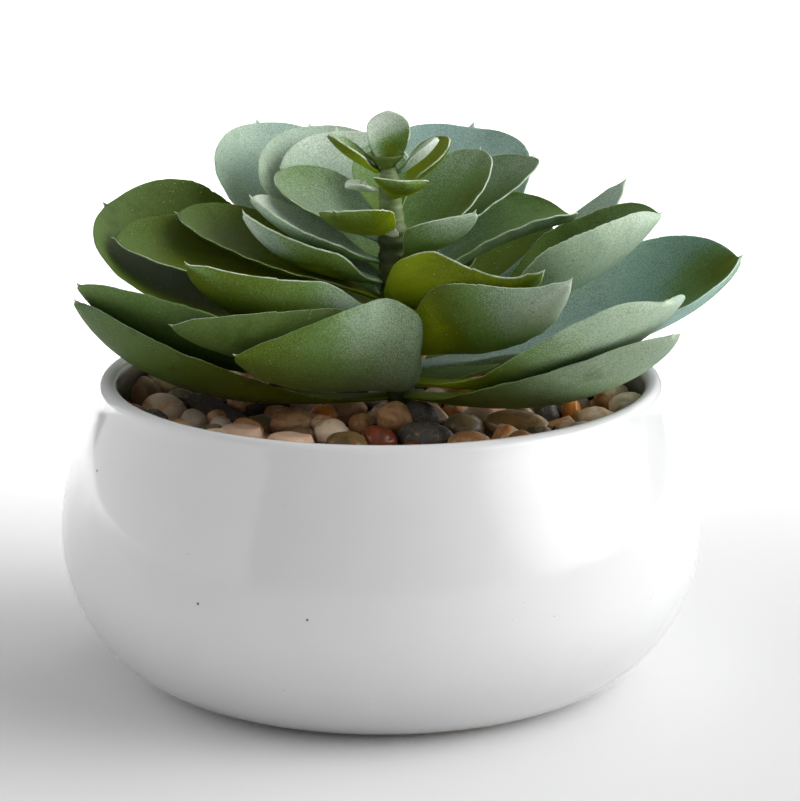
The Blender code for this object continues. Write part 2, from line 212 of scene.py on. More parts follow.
class LeafSettings(bpy.types.PropertyGroup):
    """What all the leaves share."""

    thickness: FloatProperty(
        name="Thickness", description="Along the midrib", default=1.6 * MM, unit="LENGTH"
    )
    edge: FloatProperty(name="Edge", description="Thickness at the margin", default=0.38 * MM, unit="LENGTH")
    ripple: FloatProperty(
        name="Ripple", description="How far a margin wanders", default=0.45 * MM, unit="LENGTH"
    )
    glow: FloatVectorProperty(
        name="Glow", description="Bare leaf with the light behind it", subtype="COLOR",
        default=(0.30, 0.39, 0.004),
    )
    flesh: FloatVectorProperty(
        name="Flesh", description="Bare leaf", subtype="COLOR", default=(0.105, 0.15, 0.001)
    )
    green: FloatVectorProperty(
        name="Green", description="Leaf under a thin bloom", subtype="COLOR", default=(0.165, 0.285, 0.075)
    )
    powder: FloatVectorProperty(
        name="Powder", description="Pale bloom over the leaf", subtype="COLOR", default=(0.46, 0.60, 0.43)
    )
    frost: FloatVectorProperty(
        name="Frost", description="Bloom where it lies thickest", subtype="COLOR", default=(0.74, 0.84, 0.72)
    )
    chill: FloatVectorProperty(
        name="Chill", description="Bluest of the bloom", subtype="COLOR", default=(0.32, 0.50, 0.48)
    )
    # Partly worn bloom, partly painted rim light along the leaves' edges
    margin: FloatVectorProperty(
        name="Margin", description="Thin pale edge", subtype="COLOR", default=(0.70, 0.83, 0.64)
    )
    low: FloatProperty(name="Low", description="More or less bloom on the low leaves", default=0)
    middle: FloatProperty(name="Middle", description="More or less bloom on the middle leaves", default=0)
    high: FloatProperty(name="High", description="More or less bloom on the high leaves", default=0)
    crown: FloatProperty(name="Crown", description="More or less bloom on the crown", default=0)


class StageSettings(bpy.types.PropertyGroup):
    """Floor, light and camera."""

    floor: FloatVectorProperty(
        name="Floor", description="Colour of the floor", subtype="COLOR", default=(0.95, 0.95, 0.95)
    )
    key: FloatProperty(name="Key", description="Power of the soft light", default=11.6, unit="POWER")
    spread: FloatProperty(
        name="Spread", description="Angle over which the key fades out", default=math.radians(80),
        subtype="ANGLE",
    )
    board: FloatProperty(name="Board", description="Power of the white board", default=6.4, unit="POWER")
    back: FloatProperty(name="Back", description="Power of the light behind", default=2, unit="POWER")
    wash: FloatProperty(
        name="Wash", description="Power of the light on the floor behind", default=22, unit="POWER"
    )
    sky: FloatProperty(name="Sky", description="Strength of the light all round", default=0.2, min=0)


def shaded(colour, share):
    """The colour at a share of its brightness, or above it when the share is over 1."""
    return [part * share for part in colour]


class Wire:
    """A node's output that adds Math nodes when it is used in a sum."""

    def __init__(self, finish, socket):
        self.finish = finish
        self.socket = socket

    def math(self, operation, *others, clamp=False):
        settings = {"operation": operation, "use_clamp": clamp}
        return self.finish.node("Math", settings, dict(enumerate((self, *others))))

    def __add__(self, other):
        return self.math("ADD", other)

    def __sub__(self, other):
        return self.math("SUBTRACT", other)

    def __rsub__(self, other):
        return self.finish.node("Math", {"operation": "SUBTRACT"}, {0: other, 1: self})

    def __mul__(self, other):
        return self.math("MULTIPLY", other)

    def __pow__(self, other):
        return self.math("POWER", other)

    __radd__ = __add__
    __rmul__ = __mul__

    def clamped(self):
        return self.math("ADD", 0, clamp=True)

    def within(self, low, high):
        """0 below low, 1 above high, and smooth between them."""
        settings = {"interpolation_type": "SMOOTHSTEP"}
        return self.finish.node("MapRange", settings, {"Value": self, "From Min": low, "From Max": high})


class Finish:
    """A material as it is made: nodes that end in one shader."""

    def __init__(self, name):
        self.material = bpy.data.materials.new(name)
        self.material.use_nodes = True
        self.tree = self.material.node_tree
        self.shader = self.tree.nodes["Principled BSDF"]

    def feed(self, socket, value):
        if isinstance(value, Wire):
            self.tree.links.new(value.socket, socket)
        elif hasattr(value, "__len__") and len(value) == 3 and socket.type == "RGBA":
            socket.default_value = (*value, 1)
        else:
            socket.default_value = value

    def node(self, kind, settings, sockets, output=0):
        """Adds a node: its settings first, then what its sockets hold or are linked to."""
        made = self.tree.nodes.new("ShaderNode" + kind)
        for name, value in settings.items():
            setattr(made, name, value)
        for name, value in sockets.items():
            self.feed(made.inputs[name], value)
        return Wire(self, made.outputs[output])

    def place(self):
        return self.node("TexCoord", {}, {}, "Object")

    def attribute(self, name):
        return self.node("Attribute", {"attribute_name": name}, {}, "Vector")

    def parts(self, vector):
        """The three numbers in a vector."""
        first = self.node("SeparateXYZ", {}, {0: vector})
        return [Wire(self, output) for output in first.socket.node.outputs]

    def stretched(self, vector, scale):
        return self.node("Mapping", {}, {"Vector": vector, "Scale": scale})

    def noise(self, vector, scale, detail=3, roughness=0.55, distortion=0.0):
        sockets = {
            "Vector": vector, "Scale": scale, "Detail": detail, "Roughness": roughness,
            "Distortion": distortion,
        }
        return self.node("TexNoise", {}, sockets)

    def cells(self, vector, scale):
        """Distance from the middle of a cell."""
        return self.node("TexVoronoi", {}, {"Vector": vector, "Scale": scale}, "Distance")

    def dots(self, vector, scale, core, rim):
        """Round dots at the middles of cells: full up to core, faded out at rim."""
        return 1 - self.cells(vector, scale).within(core, rim)

    def mix(self, share, first, second, blend="MIX"):
        settings = {"data_type": "RGBA", "blend_type": blend, "clamp_factor": True}
        return self.node("Mix", settings, {0: share, 6: first, 7: second}, 2)

    def bump(self, height, depth, strength, under=None):
        sockets = {"Height": height, "Distance": depth, "Strength": strength}
        if under is not None:
            sockets["Normal"] = under
        return self.node("Bump", {}, sockets)

    def surface(self, **sockets):
        """Sets the shader: words stand for its sockets, with _ for a space."""
        for name, value in sockets.items():
            self.feed(self.shader.inputs[name.replace("_", " ")], value)
        return self.material


# Shared ways of modelling


def start_alone():
    if bpy.context.mode != "OBJECT":
        bpy.ops.object.mode_set(mode="OBJECT")
    bpy.ops.object.select_all(action="DESELECT")


def named(obj, name):
    obj.name = name
    obj.data.name = name
    return obj


def paint(obj, material):
    obj.data.materials.clear()
    obj.data.materials.append(material)


def settle(piece, slot, material, *nodes):
    """Paints the finished piece, rides it on the body and hides the CAD nodes it stands for."""
    paint(piece, material)
    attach(piece, "root")
    if nodes:
        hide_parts(*nodes)


def apply_modifier(obj, kind, **settings):
    modifier = obj.modifiers.new(kind.lower(), kind)
    for name, value in settings.items():
        setattr(modifier, name, value)
    bpy.context.view_layer.objects.active = obj
    bpy.ops.object.modifier_apply(modifier=modifier.name)


def roughen(obj, scale, strength, basis="BLENDER_ORIGINAL", detail=2, **settings):
    """Dents the piece by cloud noise."""
    texture = bpy.data.textures.new(obj.name, "CLOUDS")
    texture.noise_scale = scale
    texture.noise_basis = basis
    texture.noise_depth = detail
    apply_modifier(obj, "DISPLACE", texture=texture, strength=strength, mid_level=0.5, **settings)


def copy_of(obj, name):
    """A copy with its own mesh."""
    twin = obj.copy()
    twin.data = obj.data.copy()
    bpy.context.scene.collection.objects.link(twin)
    return named(twin, name)


def joined(objs, name):
    start_alone()
    for obj in objs:
        obj.select_set(True)
    bpy.context.view_layer.objects.active = objs[0]
    if len(objs) > 1:
        bpy.ops.object.join()
    return named(objs[0], name)


def discard(*objs):
    for obj in objs:
        bpy.data.objects.remove(obj)


def add_vectors(obj, name, rows):
    """Stores one vector a point, which a material can read by name."""
    layer = obj.data.attributes.new(name, "FLOAT_VECTOR", "POINT")
    layer.data.foreach_set("vector", np.asarray(rows, np.float32).ravel())


def points_of(obj):
    points = np.empty(len(obj.data.vertices) * 3)
    obj.data.vertices.foreach_get("co", points)
    return points.reshape(-1, 3)


def set_points(obj, points):
    obj.data.vertices.foreach_set("co", np.asarray(points, np.float32).ravel())
    obj.data.update()


def turned(name, rings, segments):
    """A round piece: a circle extruded ring by ring, (x, z, radius) each, and merged shut at its ends."""
    start_alone()
    x, z, radius = rings[0]
    bpy.ops.mesh.primitive_circle_add(vertices=segments, radius=radius, enter_editmode=True)
    bpy.ops.transform.translate(value=(x, 0, z))
    for (x, z, radius), (next_x, next_z, next_radius) in zip(rings, rings[1:]):
        move = (next_x - x, 0, next_z - z)
        bpy.ops.mesh.extrude_region_move(TRANSFORM_OT_translate={"value": move})
        grow = next_radius / radius
        bpy.ops.transform.resize(value=(grow, grow, 1), center_override=(next_x, 0, next_z))
    bpy.ops.mesh.merge(type="CENTER")
    bpy.ops.mesh.select_all(action="DESELECT")
    bpy.ops.mesh.select_non_manifold()
    bpy.ops.mesh.merge(type="CENTER")
    bpy.ops.mesh.select_all(action="SELECT")
    bpy.ops.mesh.normals_make_consistent(inside=False)
    bpy.ops.object.mode_set(mode="OBJECT")
    bpy.ops.object.shade_smooth()
    return named(bpy.context.object, name)


def spaced(low, high, count, ease=1.0):
    """Values from low to high, closer together near low when ease is above 1."""
    return [low + (high - low) * (i / (count - 1)) ** ease for i in range(count)]


def smooth(share):
    """Eases in and out, from 0 below a share of 0 to 1 above a share of 1."""
    share = np.clip(share, 0, 1)
    return share * share * (3 - 2 * share)


# The bowl


def lower_swell(below):
    """How far the side has swelled out, from 0 at the foot, where below is 1, to 1 at the belly."""
    return (1 - below**LOWER_SWELL) ** (1 / LOWER_SWELL)


def bowl_radius(bowl, height):
    """Outer radius of the bowl at a height."""
    belly = BOWL_HIGH[0]
    if height < BELLY_HEIGHT:
        return bowl.foot + (belly - bowl.foot) * lower_swell(1 - height / BELLY_HEIGHT)
    above = (height - BELLY_HEIGHT) / (BOWL_HIGH[2] - BELLY_HEIGHT)
    return belly - (belly - bowl.mouth) * above**UPPER_SWELL


def hollow_radius(bowl, height):
    """Inner radius of the bowl at a height."""
    if height >= BELLY_HEIGHT:
        return bowl_radius(bowl, height) - bowl.wall
    below = 1 - (height - FLOOR) / (BELLY_HEIGHT - FLOOR)
    return bowl.foot - bowl.wall + (BOWL_HIGH[0] - bowl.foot) * lower_swell(below)


def bowl_rings(bowl):
    """Rings from under the foot, up the outside, over the lip and down to the middle of the floor."""
    lip = bowl.wall / 2
    lip_base = BOWL_HIGH[2] - lip
    lip_centre = (bowl_radius(bowl, lip_base) + hollow_radius(bowl, lip_base)) / 2
    under = [(0, 0, radius) for radius in (TOE, 20 * MM, 40 * MM, bowl.foot - HEEL)]
    outside = [(0, z, bowl_radius(bowl, z)) for z in spaced(0.5 * MM, lip_base, 40, 1.35)]
    arc = [math.radians(angle) for angle in range(15, 180, 15)]
    rim = [(0, lip_base + lip * math.sin(a), lip_centre + lip * math.cos(a)) for a in arc]
    inside = [(0, z, hollow_radius(bowl, z)) for z in reversed(spaced(FLOOR, lip_base, 20, 1.3))]
    bottom = [(0, FLOOR, radius) for radius in (30 * MM, 10 * MM, TOE)]
    return under + outside + rim + inside + bottom


def glaze_material(bowl):
    finish = Finish("glaze")
    place = finish.place()
    x, y, z = finish.parts(place)
    radius = (x * x + y * y) ** 0.5
    cloud = finish.noise(place, 28, 2)
    pinholes = finish.dots(place, 620, 0.05, 0.11) * finish.noise(place, 90, 2).within(0.66, 0.70)
    for pinhole, size in PINHOLES:
        gap = finish.node("VectorMath", {"operation": "DISTANCE"}, {0: place, 1: pinhole}, "Value")
        pinholes = pinholes.math("MAXIMUM", 1 - gap.within(size * 0.5, size))
    body = finish.mix(cloud.within(0.35, 0.7), bowl.glaze, shaded(bowl.glaze, 0.97))
    lip_radius = bowl.mouth - bowl.wall * 0.62
    thin = z.within(BOWL_HIGH[2] - 1.1 * MM, BOWL_HIGH[2] - 0.4 * MM)
    thin *= 1 - radius.within(lip_radius - MM, lip_radius + MM)
    patchy = finish.noise(place, 160, 3).within(0.3, 0.6)
    body = finish.mix(thin * (0.55 + 0.45 * patchy), body, bowl.lip)
    # Painted shade: the glaze darkens by up to 30% towards the foot, where the lower side gets little light
    body = finish.mix(0.3 * (1 - z.within(0, 36 * MM)), body, (0, 0, 0))
    bare = 1 - z.within(0.5 * MM, 1.3 * MM)
    body = finish.mix(bare, body, bowl.biscuit)
    body = finish.mix(pinholes, body, (0.10, 0.085, 0.07))
    ripple = finish.bump(finish.noise(place, 34, 2), 0.5 * MM, 0.25)
    dimple = finish.bump(1 - pinholes, 0.15 * MM, 0.8, ripple)
    return finish.surface(
        Base_Color=body,
        Roughness=0.13 + 0.5 * bare + 0.3 * pinholes,
        Normal=dimple,
        Coat_Weight=0.35,
        Coat_Roughness=0.05,
        IOR=1.5,
    )


# The fill: bark, crumbs and pebbles


@dataclass
class Stone:
    """A kind of pebble: its colours and how it shines."""

    ground: tuple
    patch: tuple
    fleck: tuple
    patchy: float = 0.5  # how much of the stone the patch colour takes
    flecked: float = 0.3
    roughness: float = 0.4
    pitted: float = 0.3
    vein: float = 0.0


# Ground, patch and fleck colours, then how patchy, flecked, rough, pitted and veined
STONES = {
    "cream": Stone((0.86, 0.75, 0.62), (0.72, 0.47, 0.29), (0.92, 0.88, 0.80), 0.30, 0.3, 0.42),
    "tan": Stone((0.66, 0.43, 0.24), (0.44, 0.22, 0.10), (0.84, 0.65, 0.45), 0.5, 0.5, 0.5, 0.6),
    "amber": Stone((0.80, 0.32, 0.06), (0.48, 0.14, 0.03), (0.88, 0.58, 0.26), 0.45, 0.15, 0.2, 0.1),
    "pink": Stone((0.86, 0.66, 0.55), (0.74, 0.30, 0.18), (0.93, 0.87, 0.81), 0.28, 0.5, 0.4),
    "red": Stone((0.34, 0.09, 0.045), (0.16, 0.042, 0.024), (0.55, 0.25, 0.13), 0.5, 0.2, 0.22, 0.2),
    "olive": Stone((0.23, 0.19, 0.11), (0.10, 0.08, 0.045), (0.40, 0.35, 0.22), 0.5, 0.2, 0.28, 0.2),
    "bronze": Stone((0.32, 0.22, 0.10), (0.14, 0.10, 0.05), (0.60, 0.46, 0.27), 0.5, 0.35, 0.22, 0.3),
    "slate": Stone((0.14, 0.145, 0.15), (0.06, 0.06, 0.068), (0.50, 0.37, 0.18), 0.5, 0.3, 0.36, 0.4, 0.6),
    "rust": Stone((0.84, 0.70, 0.54), (0.66, 0.28, 0.08), (0.36, 0.14, 0.06), 0.5, 0.5, 0.6, 0.9),
    "grey": Stone((0.66, 0.62, 0.56), (0.47, 0.43, 0.37), (0.82, 0.79, 0.72), 0.4, 0.3, 0.45),
    "brown": Stone((0.38, 0.25, 0.15), (0.20, 0.13, 0.08), (0.56, 0.42, 0.28), 0.5, 0.3, 0.38),
}


@dataclass
class Lump:
    """A pebble or splinter of bark that the photograph shows: millimetres and degrees."""

    kind: str  # its stone, or bark
    x: float
    y: float
    length: float
    breadth: float
    height: float
    turn: float = 0
    tilt: float = 0  # slope towards the viewer
    lean: float = 0  # slope to the right
    rise: float = 0  # above the usual level
    cast: int = 0  # which blank it is made from

    def size(self):
        return [self.length * MM, self.breadth * MM, self.height * MM]

    def slopes(self):
        return Euler([math.radians(angle) for angle in (-self.tilt, self.lean, self.turn)])


FRONT_PEBBLES = (
    Lump("olive", -60, 37, 10, 9, 8, rise=6),
    Lump("rust", -56, 28, 13, 11, 11, 20, rise=5, cast=1),
    Lump("pink", -47, 35, 11, 9, 9, rise=4.6, cast=3),
    Lump("brown", -61.5, 17, 9, 8, 11, 80, rise=4.4),
    Lump("cream", -56, 6, 12.4, 11.4, 11, rise=2.6, cast=2),
    Lump("grey", -48, -1.5, 9.5, 7, 8.5, 35, lean=35, rise=0.2),
    Lump("olive", -42.4, -15, 7, 6, 5),
    Lump("pink", -35.3, -16.5, 11, 8.5, 5.5, -8, rise=0.2, cast=3),
    Lump("olive", -30.5, 0, 11, 8, 6, 15, rise=-1.5),
    Lump("cream", -22, 17.5, 15, 10, 8, 12, lean=-14, rise=1.5, cast=2),
    Lump("tan", -22.3, -3, 12.5, 9, 8, 5, rise=1.2, cast=1),
    Lump("amber", -14.7, 2, 7.5, 6.5, 6, rise=0.6),
    Lump("tan", -9.5, 7.5, 12, 9, 8.5, 25, rise=1.6, cast=1),
    Lump("pink", -22.8, -24, 12.5, 9, 6, 4, cast=3),
    Lump("cream", -12.6, -12.5, 10, 8, 7.5, 30, rise=0.6),
    Lump("bronze", -8.4, -22.5, 10.5, 7, 6, -8),
    Lump("red", -0.5, -18.5, 9.4, 8, 8, rise=0.5, cast=2),
    Lump("tan", -5.1, -6, 6.5, 6, 6, rise=0.4),
    Lump("cream", 0, 3.6, 10, 6, 7, 60, lean=25, rise=1.2, cast=4),
    Lump("slate", 2.6, -5.5, 6.5, 5.5, 6, cast=4),
    Lump("tan", 3.4, -9.5, 10, 8, 9, 20, rise=4.4),
    Lump("slate", 10.2, -7.5, 9, 7, 8, rise=4, cast=2),
    Lump("slate", 11.2, -16, 15, 10, 8, -6, rise=0.8, cast=2),
    Lump("tan", 22, -22, 11, 8, 6, 4, cast=1),
    Lump("olive", 21.3, -7, 11, 8.5, 8.5, 20, rise=0.8, cast=2),
    Lump("rust", 11.5, 3.5, 12, 8, 6, -5, rise=1, cast=4),
    Lump("rust", 31, -18, 9.5, 7, 8, 20, lean=-25, rise=0.6, cast=4),
    Lump("bronze", 34.5, -6, 18.5, 9.5, 8.5, -12, rise=1.4, cast=5),
    Lump("amber", 22.5, 27, 8, 6, 5, rise=1.5),
    Lump("amber", 49.3, 6.5, 5.5, 5.5, 8, rise=1.2),
    Lump("rust", 46.5, -7.5, 9.5, 6.5, 5, -10, cast=4),
    Lump("cream", 55, 0.5, 11.5, 8, 6.5, 12, rise=0.4, cast=1),
    Lump("rust", 60.2, 17, 11.5, 8.5, 9, 65, rise=3.6, cast=1),
    Lump("brown", 61, 29, 9, 8, 9, rise=5),
    Lump("pink", 54, 37, 10, 8, 9, rise=4.6),
    Lump("slate", 42.6, 5.5, 7, 6, 6.5, rise=0.4),
    Lump("olive", 40, -16.5, 7.5, 6, 5),
    Lump("pink", 35, 60, 8, 7, 6, rise=0.5),
)
FRONT_CHIPS = (
    Lump("bark", -41, 3, 22, 6, 4, -52, 12, 8, 0.5),
    Lump("bark", -47, 13, 12, 6, 5, -20, 0, 10),
    Lump("bark", -38, 14, 15, 5, 4, 10, 0, -8, 0.5),
    Lump("bark", -30, 10, 13, 5, 3, 25, 10),
    Lump("bark", -22, 30, 14, 5, 4, -30, 0, 12, 0.5),
)

# What the thrown pebbles are drawn from
LOOSE_STONES = (
    "cream", "tan", "olive", "grey", "brown", "rust", "pink", "bronze", "slate", "cream", "tan", "red",
)


def stone_material(name, stone):
    finish = Finish("pebble_" + name)
    grain = finish.attribute("grain")
    tone = finish.parts(finish.attribute("tone"))[0]
    broad = finish.noise(grain, 130, 3, 0.6, 0.6)
    fine = finish.noise(grain, 900, 3, 0.6)
    patch = (broad + 0.18 * fine).within(0.72 - 0.36 * stone.patchy, 0.84 - 0.30 * stone.patchy)
    colour = finish.mix(patch, stone.ground, stone.patch)
    spots = finish.dots(grain, 1100, 0.10, 0.26) * finish.noise(grain, 260, 2).within(0.5, 0.66)
    colour = finish.mix(spots * stone.flecked * 1.6, colour, stone.fleck)
    shade = finish.noise(grain, 330, 4, 0.65)
    colour = finish.mix(0.4 * shade.within(0.3, 0.75), colour, shaded(stone.ground, 0.55))
    if stone.vein:
        warp = finish.noise(grain, 120, 2, 0.5, 1.5)
        vein = 1 - ((warp - 0.5) * (warp - 0.5)).within(0.0, 0.0001)
        colour = finish.mix(vein * stone.vein, colour, stone.fleck)
    dim = finish.node("CombineColor", {}, {0: tone * 1.12, 1: tone, 2: tone * 0.86})
    colour = finish.mix(1, colour, dim, "MULTIPLY")
    pits = finish.cells(grain, 700).within(0.0, 0.22)
    height = fine * 0.5 + shade + pits * stone.pitted
    return finish.surface(
        Base_Color=colour,
        Roughness=stone.roughness + 0.25 * patch - 0.1 * spots,
        Normal=finish.bump(height, 0.22 * MM, 0.25 + 0.5 * stone.pitted),
        Coat_Weight=0.25 if stone.roughness < 0.3 else 0.0,
        Coat_Roughness=0.12,
        IOR=1.5,
    )


def bark_material(fill):
    finish = Finish("bark")
    place = finish.place()
    fibre = finish.noise(finish.stretched(place, (1, 1, 2.4)), 420, 5, 0.7, 0.8)
    lumps = finish.noise(place, 120, 3)
    colour = finish.mix(fibre.within(0.4, 0.75), fill.bark, shaded(fill.bark, 3.2))
    colour = finish.mix(lumps.within(0.55, 0.8) * 0.5, colour, (0.085, 0.045, 0.022))
    return finish.surface(
        Base_Color=colour,
        Roughness=0.62 + 0.3 * fibre,
        Normal=finish.bump(fibre + 0.6 * lumps, 0.6 * MM, 0.7),
    )


# Planes that cut a pebble flat: (normal, distance from the middle)
FLAT_CUTS = (((0.1, 0, 1), 0.62), ((0.5, 0.8, 0.2), 0.7))
SHARD_CUTS = (
    ((1, 0.3, 0.5), 0.6), ((-0.6, 0.7, 0.6), 0.6), ((0.1, -1, 0.3), 0.62), ((-0.4, -0.2, 1), 0.5),
)


def rough_blank(name, scale, strength, basis, detail, soften, cuts=()):
    """A pebble a unit long, to be copied: a ball dented by noise, cut by a plane or two and smoothed."""
    start_alone()
    bpy.ops.mesh.primitive_ico_sphere_add(subdivisions=5, radius=1)
    blank = named(bpy.context.object, name)
    roughen(blank, scale, strength, basis, detail)
    if cuts:
        bpy.ops.object.mode_set(mode="EDIT")
        for normal, distance in cuts:
            bpy.ops.mesh.select_all(action="SELECT")
            normal = Vector(normal).normalized()
            point = normal * distance
            bpy.ops.mesh.bisect(plane_co=point, plane_no=normal, use_fill=True, clear_outer=True)
        bpy.ops.object.mode_set(mode="OBJECT")
        apply_modifier(blank, "REMESH", mode="VOXEL", voxel_size=0.075)
    apply_modifier(blank, "SMOOTH", factor=0.5, iterations=soften)
    keep = PEBBLE_FACES / len(blank.data.polygons) / (2 if cuts else 1)
    apply_modifier(blank, "DECIMATE", ratio=min(keep, 1))
    bpy.ops.object.shade_smooth()
    points = points_of(blank)
    low, high = points.min(axis=0), points.max(axis=0)
    set_points(blank, (points - (low + high) / 2) / (high - low))
    return blank


def pebble_blanks():
    """One blank for each cast that a pebble may have."""
    return [
        rough_blank("blank_round", 1.3, 0.5, "BLENDER_ORIGINAL", 1, 6),
        rough_blank("blank_lumpy", 0.8, 0.55, "IMPROVED_PERLIN", 2, 5),
        rough_blank("blank_smooth", 1.9, 0.6, "ORIGINAL_PERLIN", 0, 8),
        rough_blank("blank_flat", 1.1, 0.4, "BLENDER_ORIGINAL", 1, 6, FLAT_CUTS),
        rough_blank("blank_shard", 0.9, 0.5, "IMPROVED_PERLIN", 2, 2, SHARD_CUTS),
        rough_blank("blank_long", 1.5, 0.35, "ORIGINAL_PERLIN", 1, 7),
    ]


def place_copy(blank, name, centre, size, slopes, chance):
    """A copy of the blank, at its size and place, that remembers its own grain."""
    lump = copy_of(blank, name)
    points = points_of(lump)
    scaled = points * np.array(size)
    shift = [chance.uniform(-0.2, 0.2) for _ in range(3)]
    spin = np.array(Euler([chance.uniform(0, math.tau) for _ in range(3)]).to_matrix())
    add_vectors(lump, "grain", scaled @ spin + shift)
    add_vectors(lump, "tone", np.full((len(points), 3), chance.uniform(0.8, 1.12)))
    set_points(lump, scaled @ np.array(slopes.to_matrix()).T + np.array(centre))
    return lump


def any_side(distance, height, chance):
    """A point at a distance from the bowl's axis, in a direction drawn by chance."""
    angle = chance.uniform(0, math.tau)
    return distance * math.cos(angle), distance * math.sin(angle), height


def any_slopes(most, chance):
    """A turn drawn by chance, with slopes of at most so much either way."""
    return Euler((chance.uniform(-most, most), chance.uniform(-most, most), chance.uniform(0, math.tau)))


def front_pebble_place(pebble, fill, bowl):
    """Centre of a pebble: its top near the bed's level, its side clear of the wall."""
    half = pebble.height * MM / 2
    height = fill.level - half + (pebble.rise - PEBBLE_SUNK) * MM
    away = Vector((pebble.x * MM, pebble.y * MM))
    side = 0.45 * (pebble.length + pebble.breadth) / 2 * MM
    reach = hollow_radius(bowl, height) - side - WALL_ROOM
    if away.length > reach:
        away *= reach / away.length
    return Vector((away.x, away.y, height))


def loose_places(fill, bowl, taken, chance):
    """Centres and sizes that fill the bed in two layers, thrown like darts and kept where they fit."""
    for depth, closeness, throws in LAYERS:
        laid, taken = taken, []  # only the top layer meets the listed pebbles
        for _ in range(throws):
            half = fill.pebble * chance.uniform(0.62, 1.12)
            spread = math.sqrt(chance.random())
            top = fill.level - depth - chance.uniform(0, 1.8) * MM + HEAP * spread**4
            height = top - half * 0.7
            reach = hollow_radius(bowl, height) - half * 1.02
            centre = Vector(any_side(reach * spread, height, chance))
            if (centre.xy - Vector((STEM_X_LOW, 0))).length < half + STEM_ROOM:
                continue
            if any((centre.xy - other.xy).length < closeness * (half + size) for other, size in laid):
                continue
            laid.append((centre, half))
            yield centre, half


def make_pebbles(context):
    """Listed pebbles in front, thrown ones behind and below, joined into one piece for each stone."""
    fill = context.scene.snowball_fill
    bowl = context.scene.snowball_bowl
    chance = random.Random(fill.seed)
    blanks = pebble_blanks()
    heaps = {name: [] for name in STONES}
    taken = []
    for pebble in FRONT_PEBBLES:
        centre = front_pebble_place(pebble, fill, bowl)
        blank = blanks[pebble.cast]
        lump = place_copy(blank, "pebble", centre, pebble.size(), pebble.slopes(), chance)
        heaps[pebble.kind].append(lump)
        taken.append((centre, (pebble.length + pebble.breadth) / 4 * MM))
    for centre, half in loose_places(fill, bowl, taken, chance):
        size = [2 * half, 2 * half * chance.uniform(0.74, 0.95), 2 * half * chance.uniform(0.55, 0.8)]
        slopes = any_slopes(0.35, chance)
        heap = heaps[chance.choice(LOOSE_STONES)]
        heap.append(place_copy(chance.choice(blanks), "pebble", centre, size, slopes, chance))
    for name, heap in heaps.items():
        piece = joined(heap, "pebbles_" + name)
        settle(piece, "pebble", stone_material(name, STONES[name]), "pebble_bed")
    discard(*blanks)


def bark_blank(name, cut):
    """A splinter of bark: a box drawn out, cut slantwise and roughened."""
    start_alone()
    bpy.ops.mesh.primitive_cube_add(size=1, enter_editmode=True)
    bpy.ops.mesh.bisect(plane_co=(0.38, 0, 0), plane_no=(1, cut, 0.3), use_fill=True, clear_outer=True)
    bpy.ops.mesh.select_all(action="SELECT")
    bpy.ops.mesh.bisect(plane_co=(-0.36, 0, 0), plane_no=(-1, 0.4, cut), use_fill=True, clear_outer=True)
    bpy.ops.mesh.select_all(action="SELECT")
    bpy.ops.mesh.quads_convert_to_tris()
    bpy.ops.mesh.subdivide(number_cuts=1)
    bpy.ops.object.mode_set(mode="OBJECT")
    blank = named(bpy.context.object, name)
    roughen(blank, 0.4, 0.3)
    apply_modifier(blank, "DECIMATE", ratio=min(1, CHIP_FACES / len(blank.data.polygons)))
    return blank


def make_bark_bed(fill, bowl, bark):
    """A round slab that fills the bowl below the pebbles, with a crumbly top."""
    base = BED_LOW[2]
    top = fill.level - BARK_DEPTH
    side = hollow_radius(bowl, top) - BARK_GAP
    rings = [(0, base, TOE), (0, base, hollow_radius(bowl, base) - BARK_GAP), (0, top, side)]
    rings += [(0, top, radius) for radius in reversed(spaced(TOE, side - 2 * MM, BED_RINGS))]
    bed = turned("bark_bed", rings, BED_SEGMENTS)
    heights = points_of(bed)[:, 2]
    group = bed.vertex_groups.new(name="top")
    group.add([int(i) for i in np.flatnonzero(heights > top - MM / 10)], 1, "REPLACE")
    roughen(bed, 5 * MM, 3 * MM, direction="Z", vertex_group="top")
    settle(bed, "bark", bark, "pebble_bed")


def make_splinters(fill, bowl, bark):
    """The splinters that the photograph shows, and more of them drawn by chance."""
    chance = random.Random(fill.seed + 1)  # so that more pebbles leave the bark as it is
    blanks = [bark_blank("blank_chip_%d" % i, cut) for i, cut in enumerate(CHIP_SLANTS)]
    chips = []
    for chip in FRONT_CHIPS:
        centre = (chip.x * MM, chip.y * MM, fill.level - (chip.height / 2 + CHIP_SUNK - chip.rise) * MM)
        blank = chance.choice(blanks)
        chips.append(place_copy(blank, "chip", centre, chip.size(), chip.slopes(), chance))
    for _ in range(fill.chips):
        length = chance.uniform(2.5, 9) * MM
        height = fill.level - chance.uniform(4.5, 8.5) * MM
        distance = (hollow_radius(bowl, height) - length / 2 - MM) * math.sqrt(chance.random())
        centre = any_side(distance, height, chance)
        size = [length, length * chance.uniform(0.3, 0.7), length * chance.uniform(0.15, 0.4)]
        slopes = any_slopes(0.6, chance)
        chips.append(place_copy(chance.choice(blanks), "chip", centre, size, slopes, chance))
    settle(joined(chips, "bark_splinters"), "bark", bark, "pebble_bed")
    discard(*blanks)


def make_bark(context):
    """The dark bed under the pebbles, with splinters between them, over soil of the same bark."""
    fill = context.scene.snowball_fill
    bowl = context.scene.snowball_bowl
    bark = bark_material(fill)
    paint(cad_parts["soil"], bark)
    make_bark_bed(fill, bowl, bark)
    make_splinters(fill, bowl, bark)


# The stem


def stem_x(height):
    """Sideways place of the stem's axis at a height."""
    share = min(max((height - LEAN_START) / (LEAN_END - LEAN_START), 0), 1)
    return STEM_X_LOW + (STEM_X_HIGH - STEM_X_LOW) * share


def stem_radius(stem, height):
    """The stem is even up to the bud, then rounds off."""
    share = min(max((height - BUD_START) / (STEM_HIGH[2] - BUD_START), 0), 1)
    return stem.radius + (BUD_RADIUS - stem.radius) * share**1.5


